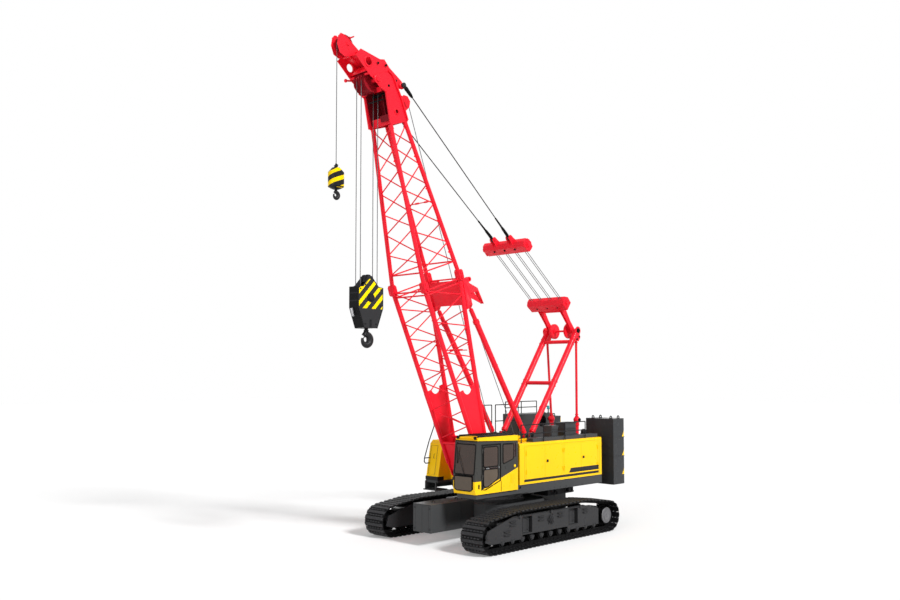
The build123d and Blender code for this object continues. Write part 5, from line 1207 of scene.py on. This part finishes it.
def makeTackle():
    for name, half, base, front, low in tackle["ends"]:
        trim, dark = Piece(name + "_trim", "red", name), Piece(name + "_fittings", "link", name)
        # end covers and the sheaves' pin with its nuts
        trim.plate([(base + front * u, v) for u, v in tackle["cover"]], ropeSide(half + 0.004), 0.016)
        trim.turned(onRope(base, 0, half), left, (0, 110, 30, 110, 34, 80, 60, 75, 62, 0))
        spots = ((0.14, -0.1), (0.14, 0.08), (-0.1, 0.1), (-0.1, -0.1))
        trim.bolts([onRope(base + front * u, v, half + 0.012) for u, v in spots], left, 16, 14)
        if front > 0:
            makeBailArm(trim)
        else:
            makeClevis(trim, dark)
        trim.mirror()
        dark.mirror()
        for y in (-0.45, 0.0, 0.45):
            spot = onRope(base - (0.04 if front > 0 else -0.02), low + 0.006, y)
            dark.turned(spot, -ropeUp, (-10, 35, 6, 35, 8, 22, 24, 20, 26, 0), 16)
        if front > 0:
            foot, end = bailArm()
            middle = foot.lerp(end, 0.78)
            trim.tube([(middle.x, y, middle.z) for y in (-0.47, 0.47)], 0.05, 16)
        trim.done()
        dark.done()


def bailArm():
    x, y, z = tackle["bailHead"]
    top = tackle["gantryTop"]
    return Vector((top[0], y, top[2] + 0.04)), Vector((x, y, z))


def makeBailArm(trim):
    # paired arm plates and the pin at the gantry's top
    foot, end = bailArm()
    run = (end - foot).normalized()
    across, waist = Vector((run.z, 0, -run.x)), foot.lerp(end, 0.35)
    corners = [
        foot - across * 0.1, foot + across * 0.1, waist + across * 0.075, end + across * 0.13,
        end - across * 0.13, waist - across * 0.075,
    ]
    for out in (-0.045, 0.045):
        trim.prism(*[[corner + left * (out + lift) for corner in corners] for lift in (-0.008, 0.008)])
    trim.turned(foot + left * 0.05, left, (0, 100, 10, 100, 10, 60, 30, 55, 30, 0))


def makeClevis(trim, dark):
    # clevis plates of the pendants, cut round, with pin heads, and sockets at both ends
    eye, y = tackle["spreaderEye"], 0.35
    outline = [(3.0, -0.13), (3.13, -0.1), (eye, -0.09)] + [(eye + u, v) for u, v in arc(0.09, -0.4, 0.4, 8)]
    outline += [(eye, 0.09), (3.13, 0.1), (3.0, 0.13)]
    for out in (1, -1):
        trim.plate(outline, ropeSide(y + out * 0.066), 0.02)
        pin = (0, 60, 14, 60, 16, 34, 35, 30, 37, 0)
        trim.turned(onRope(eye, 0, y + out * 0.076), left * out, pin, 20)
    low, high = onRope(eye, 0, y), onBoom(-0.44, 0.545, 12.36)
    way = (high - low).normalized()
    radii = [0.036, 0.052, 0.046, 0.032, 0.026]
    dark.tube([low + way * run for run in (0.05, 0.12, 0.4, 0.5, 0.9)], radii, 16)
    dark.tube([high - way * run for run in (0.05, 0.12, 0.38, 0.46)], [0.04, 0.06, 0.048, 0.028], 16)


gantry = {
    "foot": (-1.09, 0.61, 3.12),
    "collars": (0.045, 0.47, 0.51, 0.88, 0.92),
    "couplings": (1.74, 3.36, 3.42, 3.66, 3.72, 6.24),
    "stopFoot": (-0.73, 0.69, 3.11),
}


def makeGantry():
    trim, dark = Piece("gantry_trim", "red"), Piece("gantry_pins", "link")
    foot, top = Vector(gantry["foot"]), Vector(tackle["gantryTop"])
    run = (top - foot).normalized()
    # end collars and the tabs on the leg
    for share in gantry["collars"]:
        trim.turned(foot.lerp(top, share), run, (-20, 100, -12, 113, 12, 113, 20, 100), 28)
    for share in (0.16, 0.24):
        spot = foot.lerp(top, share) - Vector((-run.z, 0, run.x)) * 0.1
        turn = Matrix.Translation(spot) @ Matrix.Rotation(radians(45), 4, "Y")
        trim.box((-0.05, -0.012, -0.05), (0.05, 0.012, 0.05), 0.004, turn)
    dark.turned((top.x, 0.73, top.z + 0.04), left, (-10, 85, 12, 85, 14, 60, 45, 56, 47, 0))
    trim.turned((top.x, 0.716, top.z + 0.04), left, (-3, 150, 10, 150, 12, 140, 12, 0), 28)
    for x, z in ((-3.55, 6.36), (-3.68, 6.45)):
        dark.turned((x, 0.716, z), left, (0, 35, 12, 35, 30, 20, 32, 0), 16)
    # struts: couplings at the joint balls and foot flanges
    for z in gantry["couplings"]:
        radius, rise = 72 if z < 3.5 else 42, max(0, z - 3.54) / 2.75
        spot = (-3.71 + 0.11 * rise, 0.56 + 0.08 * rise, z)
        trim.turned(spot, up, (-20, radius, -14, radius + 22, 14, radius + 22, 20, radius))
    dark.turned((-3.71, 0.68, 3.54), left, (-30, 60, 14, 60, 16, 40, 35, 38, 37, 0), 20)
    # backstop tubes: mouth collar, foot collar and grease points
    for name, side in (("left", 1), ("right", -1)):
        x, y, z = gantry["stopFoot"]
        eye, start = onBoom(-0.895, side * y, 5.56), Vector((x, side * y, z))
        way = (eye - start).normalized()
        mouth = eye - way * 0.56
        collars = Piece("backstop_collars_" + name, "red", "backstop_tubes")
        rim = (-120, 88, -115, 104, -20, 104, -10, 98, -2, 98, -2, 71.5, -30, 71.5)
        collars.turned(mouth, way, rim, 28)
        for share in (0.06, 0.3, 0.62):
            collars.turned(start.lerp(mouth, share), way, (-15, 88, -10, 97, 10, 97, 15, 88), 28)
        collars.done()
    for piece in (trim, dark):
        piece.mirror()
        piece.done()


makeTackle()
makeGantry()
print("gantry and tackle made")

hooks = {
    "mainBowl": (5.4993, 6.111, 0.42),  # x, z, size
    "auxBowl": (6.6257, 10.105, 0.235),
    "auxTop": 10.864,
    "ropeRadius": 0.011,
    "falls": [(x, y) for x in (-0.315, 0.315) for y in (-0.1, 0.1)],
    "blockRim": [
        (0.45, 0.3), (0.28, 0.32), (0.06, 0.56), (-0.06, 0.56), (-0.28, 0.32), (-0.45, 0.3),
        (-0.45, -0.29), (-0.24, -0.86), (0.24, -0.86), (0.45, -0.29), (0.45, 0.3),
    ],
    "blockLug": [(-0.12, 0.42), (-0.13, 0.6), (-0.07, 0.67), (0.07, 0.67), (0.13, 0.6), (0.12, 0.42)],
    "blockCover": [(0.455, 0.29), (0.455, -0.285), (0.245, -0.855)],
}


def forgedHook(name, bowl, top, body):
    # shank, collar and a tapering bowl, with a sprung latch across the throat
    x, z, size = bowl
    hook = Piece(name + "_forged", "hook", body)
    place = lambda u, v: Vector((x + size * u, 0, z + size * v))
    line, radii = [place(0.02, 0.62), place(0.07, 0.48)], [0.13, 0.14]
    for share in [step / 26 for step in range(27)]:
        angle, reach = radians(118 - 316 * share), 0.36 - 0.02 * share
        line.append(place(-reach * cos(angle) * 0.96, reach * sin(angle)))
        radii.append(0.19 + 0.06 * sin(pi * min(1, share * 1.15)) - 0.1 * max(0, share - 0.62) / 0.38)
    hook.tube(line, [size * radius for radius in radii], 20)
    shank = (0, 0.12, 0.06, 0.17, 0.16, 0.17, 0.2, 0.12, (top - z) / size - 0.5, 0.12)
    hook.turned((x, 0, z + size * 0.5), up, [number * size * 1000 for number in shank])
    # latch from the shank to the tip
    tip, root = line[-2], place(-0.13, 0.42)
    latch = [root, root.lerp(tip, 0.5) + Vector((-size * 0.03, 0, size * 0.02)), tip]
    hook.tube(latch, [size * 0.045, size * 0.035, size * 0.03])
    hook.turned(root - left * size * 0.17, left, (0, size * 50, size * 340, size * 50), 14)
    hook.done(name, 60)


def makeHooks():
    x, z = blockAt
    parts = {"trim": "black", "springs": "spring", "covers": "link"}
    trim, springs, covers = [Piece("hook_block_" + part, parts[part], "hook_block") for part in parts]
    for side in (1, -1):
        # cheek doublers, the pin's cap and cover bolts
        out = left * side
        trim.turned((x, side * 0.2, z), out, (0, 130, 14, 130, 16, 85, 34, 80, 36, 0), 32)
        for half, heights in ((0.38, (0.24, -0.22)), (0.2, (0.36, -0.75))):
            spots = product((x - half, x + half), (side * 0.2,), [z + v for v in heights])
            trim.bolts(spots, out, 20, 18)
        trim.tube([(x + u, side * 0.202, z + v) for u, v in hooks["blockRim"]], 0.012, 8)
        trim.block((x, side * 0.205, z - 0.74), (0.035, 0.01, 0.12), 0.006)
        # front and rear covers: rope slots, hinge bars and their springs
        for y in (-0.1, 0.1):
            trim.block((x + side * 0.315, y, z + 0.3125), (0.06, 0.03, 0.0125), 0.006)
        for v in (0.125, -0.095):
            trim.block((x + side * 0.452, 0, z + v), (0.008, 0.17, 0.025), 0.004)
        lug = rounded([(x + u, z + v) for u, v in hooks["blockLug"]], 0.05, 5)
        trim.plate(lug, onSide(side * 0.07), 0.03)
        low = Vector((x + side * 0.425, side * -0.07, z - 0.53))
        high = Vector((x + side * 0.5, side * -0.07, z - 0.31))
        coil = [low.lerp(high, i / 60) + Vector((cos(i * 0.8), sin(i * 0.8), 0)) * 0.032 for i in range(61)]
        springs.tube(coil, 0.011, 6)
        springs.tube([low, high], 0.018, 8)
        # dark closing plates over the front and rear
        covers.strip([(x + side * u, z + v) for u, v in hooks["blockCover"]], 0.003, onSide(0), 0.375)
    trim.tube([(x, -0.1, z + 0.6), (x, 0.1, z + 0.6)], 0.035, 18)
    for piece in (trim, springs, covers):
        piece.done()
    forgedHook("main_hook", hooks["mainBowl"], z - 0.861, "main_hook")

    # auxiliary weight: rope swivel on top, end rim and wedge socket
    x, top = auxAt[0], hooks["auxTop"]
    swivel = Piece("aux_weight_swivel", "black", "aux_weight")
    socket = (-30, 130, 4, 125, 12, 70, 30, 55, 80, 45, 85, 34, 130, 26, 140, 0)
    swivel.turned((x, 0, top), up, socket, 28)
    swivel.tube([(x, -0.075, top + 0.08), (x, 0.075, top + 0.08)], 0.02, 12)
    rim = (-30, 60, -30, 100, -4, 150, 2, 166, 36, 224.5, 85, 224.5, 87, 200)
    swivel.turned((x, 0, top - 0.56), up, rim, 32)
    swivel.bolts([(x + u, v, top) for u, v in hoop(0.1, 6)], up, 12, 12)
    swivel.done()
    forgedHook("aux_hook", hooks["auxBowl"], top - 0.561, "aux_hook")


def makeRope(name, lines, first, last, firstEnd, lastEnd, replaces=None):
    # a rope drawn between two bodies and baked in place; lines: start, end and steps of each part
    rope = Piece(name, "wire", None)
    for start, end, steps in lines:
        start, end = Vector(start), Vector(end)
        rope.tube([start.lerp(end, i / steps) for i in range(steps + 1)], hooks["ropeRadius"], 8)
    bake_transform(rope.done(replaces), first, last, tuple(firstEnd), tuple(lastEnd))


def makeRopes():
    x, z = blockAt
    pin = onBoom(*head["mainPin"])
    lines = [((x + u, y, z + 0.006), (x + u, y, pin.z - 0.006), 24) for u, y in hooks["falls"]]
    makeRope("main_falls", lines, "main_sheaves", "hook_block", pin, (x, 0, z), "main_ropes")
    pin, low = onBoom(*head["auxPin"]), (auxAt[0], 0, 10.9)
    makeRope("aux_fall", [(low, (low[0], 0, pin.z), 16)], "aux_sheave", "aux_weight", pin, low, "aux_rope")
    spots = [(index - 1.5) * 0.42 + step for index in range(4) for step in (-0.0425, 0.0425)]
    lines = [(onRope(0.22, 0, y), onRope(2.63, 0, y), 16) for y in spots]
    ends = onRope(0.22, 0, 0), onRope(2.63, 0, 0)
    makeRope("luffing_falls", lines, "gantry_bail", "spreader", *ends, "luffing_ropes")
    # the hoist ropes down the boom's back to their winches
    lines = [(onBoom(-0.79, y, 11.9), (x, y * 0.9, 2.37), 1) for y, x in ((0.2, 0.04), (-0.2, -1.59))]
    makeRope("hoist_ropes", lines, "boom", "upperworks", onBoom(-0.79, 0, 11.9), (-0.4, 0, 2.4))


makeHooks()
makeRopes()
print("hooks and ropes made")

under = {
    "cheek": 2.3,
    "steps": [(1.82, 0.77), (2.07, 0.51), (0.49, 0.78), (-0.45, 0.79), (-1.76, 0.77)],
    "rollers": [-2.25 + 0.45 * index for index in range(11)],
    "frames": (-1.14, 1.14),
}


def makeCrawlerTrim(name, side):
    trim = Piece("crawler_trim_" + name, "cheek", "undercarriage")
    disc = Piece("drive_cover_" + name, "disc", "undercarriage")
    y, out = side * under["cheek"], left * side
    # final drive's cover with its ring of bolts, and the idler's hub
    cover = (-4, 262, 4, 250, 12, 245, 14, 170, 28, 165, 30, 100, 26, 95, 26, 50, 36, 45, 37, 0)
    disc.turned((-2.9, side * 2.331, 0.5), out, cover, 48)
    disc.bolts([(-2.9 + u, side * 2.343, 0.5 + v) for u, v in hoop(0.21, 16)], out, 13, 14)
    disc.done()
    trim.turned((2.9, y, 0.5), out, (-20, 100, 12, 100, 14, 70, 30, 65, 32, 0), 28)
    # paired foot bars welded to the cheek
    for x, z in under["steps"]:
        for lift in (-0.05, 0.05):
            bar = ((-0.13, -0.005), (-0.13, 0.05), (0.13, 0.05), (0.13, -0.005))
            trim.tube([(x + u, y + side * w, z + lift) for u, w in bar], 0.014, 8)
    # the adjuster's guards, drive hub and opening frames
    for x, z, half in ((1.84, 0.62, 0.21), (2.36, 0.4, 0.25)):
        guard = ((-half, -0.04), (half, -0.02), (half - 0.08, 0.05), (0.1 - half, 0.06))
        trim.plate(rounded([(x + u, z + v) for u, v in guard], 0.03), onSide(y + side * 0.002), 0.008)
    hub = (-20, 130, 0, 130, 10, 105, 50, 100, 55, 60, 85, 58, 87, 0)
    trim.turned((0, side * 2.345, 0.6965), out, hub)
    for u, v in ((0.16, 0.0), (-0.16, 0.02), (0.1, -0.12), (-0.1, 0.12)):
        trim.block((u, y, 0.6965 + v), (0.03, 0.02, 0.03), 0.006)
    for x in under["frames"]:
        opening = ((-0.225, 0.41), (0.225, 0.41), (0.225, 0.91), (-0.225, 0.91), (-0.225, 0.41))
        trim.tube([(x + u, y, z) for u, z in opening], 0.014, 8)
        trim.block((x, side * 2.188, 0.645), (0.17, 0.004, 0.195), 0.003)
        trim.bolts([(x + u, side * 2.192, v) for u in (-0.13, 0.13) for v in (0.5, 0.79)], out, 20, 18)
    # roller end caps with their saddles below the cheek, and upper roller brackets
    for x in under["rollers"]:
        trim.turned((x, side * 2.262, 0.253), out, (0, 75, 30, 75, 36, 50, 50, 46, 52, 0), 20)
        trim.block((x, side * 2.285, 0.285), (0.1, 0.014, 0.035), 0.008)
        trim.bolts([(x + u, side * 2.3, 0.3) for u in (-0.07, 0.07)], out, 14, 14)
    for x in (-1.5, 0, 1.5):
        trim.block((x, y, 0.9325), (0.09, 0.018, 0.0325), 0.01)
        trim.turned((x, side * 2.305, 0.93), out, (0, 50, 30, 50, 34, 30, 45, 0), 18)
    # welded rib along the cheek
    trim.tube([(1.7, y, 0.93), (0.8, y, 0.955), (-0.8, y, 0.955), (-1.7, y, 0.93)], 0.012, 8)
    trim.done()


def makeCarbodyTrim():
    body = Piece("carbody_trim", "cheek", "undercarriage", "dark_grey_paint")
    for end in (1, -1):
        # slabs of the central ballast, their tie bolts and lifting eyes
        face = end * 3.28
        seams = [*product((face,), (-0.28, 0, 0.28)), *product((end * 2.0, end * 2.64), (0.38, -0.38))]
        for x, y in seams:
            body.tube([(x, y, 0.44), (x, y, 1.23)], 0.005, 6)
        body.bolts(product((face,), (-0.32, 0.32), (0.52, 1.14)), ahead * end, 24, 20)
        for x in (end * 1.8, end * 2.8):
            arch = [(x, v * 6 / 7, 1.25 + w) for v, w in arc(0.07, 0, 1, 8)]
            body.tube(arch, 0.014, 8)
        body.block((face, 0, 1.2425), (0.01, 0.36, 0.0075), 0.003)
    for side in (1, -1):
        for x in under["frames"]:
            for edge in (x - 0.195, x + 0.195):
                body.tube([(edge, side * 1.3, 0.5), (edge, side * 1.9, 0.5)], 0.02, 8)
            body.block((x, side * 1.86, 0.6525), (0.19, 0.02, 0.2225), 0.006)
        for y in (0.1, 0.2, 0.3):
            pipe = ((-0.9, y, 1.13), (-1.25, y + 0.5, 1.1), (-1.5, 1.5, 0.95), (-1.9, 1.75, 0.8))
            body.tube([(u, side * v, w) for u, v, w in pipe], 0.018, 8)
    body.done()
    # turntable bolts and the toothed rim
    rim = Piece("slew_ring_bolts", "disc", "undercarriage")
    rim.bolts([(u, v, 1.18) for u, v in hoop(0.91, 60)], up, 16, 22)
    for step in range(90):
        turn = Matrix.Rotation(2 * pi * step / 90, 4, "Z")
        rim.box((0.855, -0.016, 1.215), (0.885, 0.016, 1.28), 0.003, turn)
    rim.done()


makeCrawlerTrim("left", 1)
makeCrawlerTrim("right", -1)
makeCarbodyTrim()
print("undercarriage made")

studio = {
    "floorSize": 140,
    "floorTones": [(0.8, 0.8, 0.8), (0.79, 0.79, 0.79)],
    "floorGlow": 0.19,
    "ambient": 0.42,
    # strength, where it comes from, width in degrees
    "lamps": {"key": (3.1, (0.02, 1.0, 0.75), 12), "fill": (0.9, (1.0, 0.05, 0.2), 40)},
}


def seenDirectly(tree):
    # camera, glossy and transmission rays see the white background
    rays = tree.add("LightPath").outputs
    return Value(tree, rays["Is Camera Ray"]) | rays["Is Glossy Ray"] | rays["Is Transmission Ray"]


def makeStudio():
    world = bpy.data.worlds.new("studio")
    bpy.context.scene.world = world
    tree = Nodes(world)
    level = tree.spread(seenDirectly(tree), 0, 1, studio["ambient"], 1)
    tree.add("OutputWorld", {0: tree.add("Background", {0: (1, 1, 1), 1: level}).outputs[0]})

    bm = bmesh.new()
    bmesh.ops.create_grid(bm, x_segments=2, y_segments=2, size=studio["floorSize"])
    mesh = bpy.data.meshes.new("floor")
    bm.to_mesh(mesh)
    bm.free()
    floor = addObject("floor", mesh)
    floor.location.z = -0.001
    material = bpy.data.materials.new("floorPaint")
    tree = Nodes(material)
    matte = tree.add("BsdfDiffuse", {0: tree.mix(tree.noise(0.4, 3), *studio["floorTones"])})
    glow = tree.add("Emission", {1: tree.spread(seenDirectly(tree), 0, 1, 0, studio["floorGlow"])})
    both = tree.add("AddShader", {0: matte.outputs[0], 1: glow.outputs[0]})
    tree.add("OutputMaterial", {0: both.outputs[0]})
    mesh.materials.append(material)

    for name, (strength, place, width) in studio["lamps"].items():
        light = bpy.data.lights.new(name, "SUN")
        light.energy, light.angle = strength, radians(width)
        aim(addObject(name, light), place, "Z")


makeStudio()
bpy.context.scene.view_settings.view_transform = "Standard"
print("studio set")
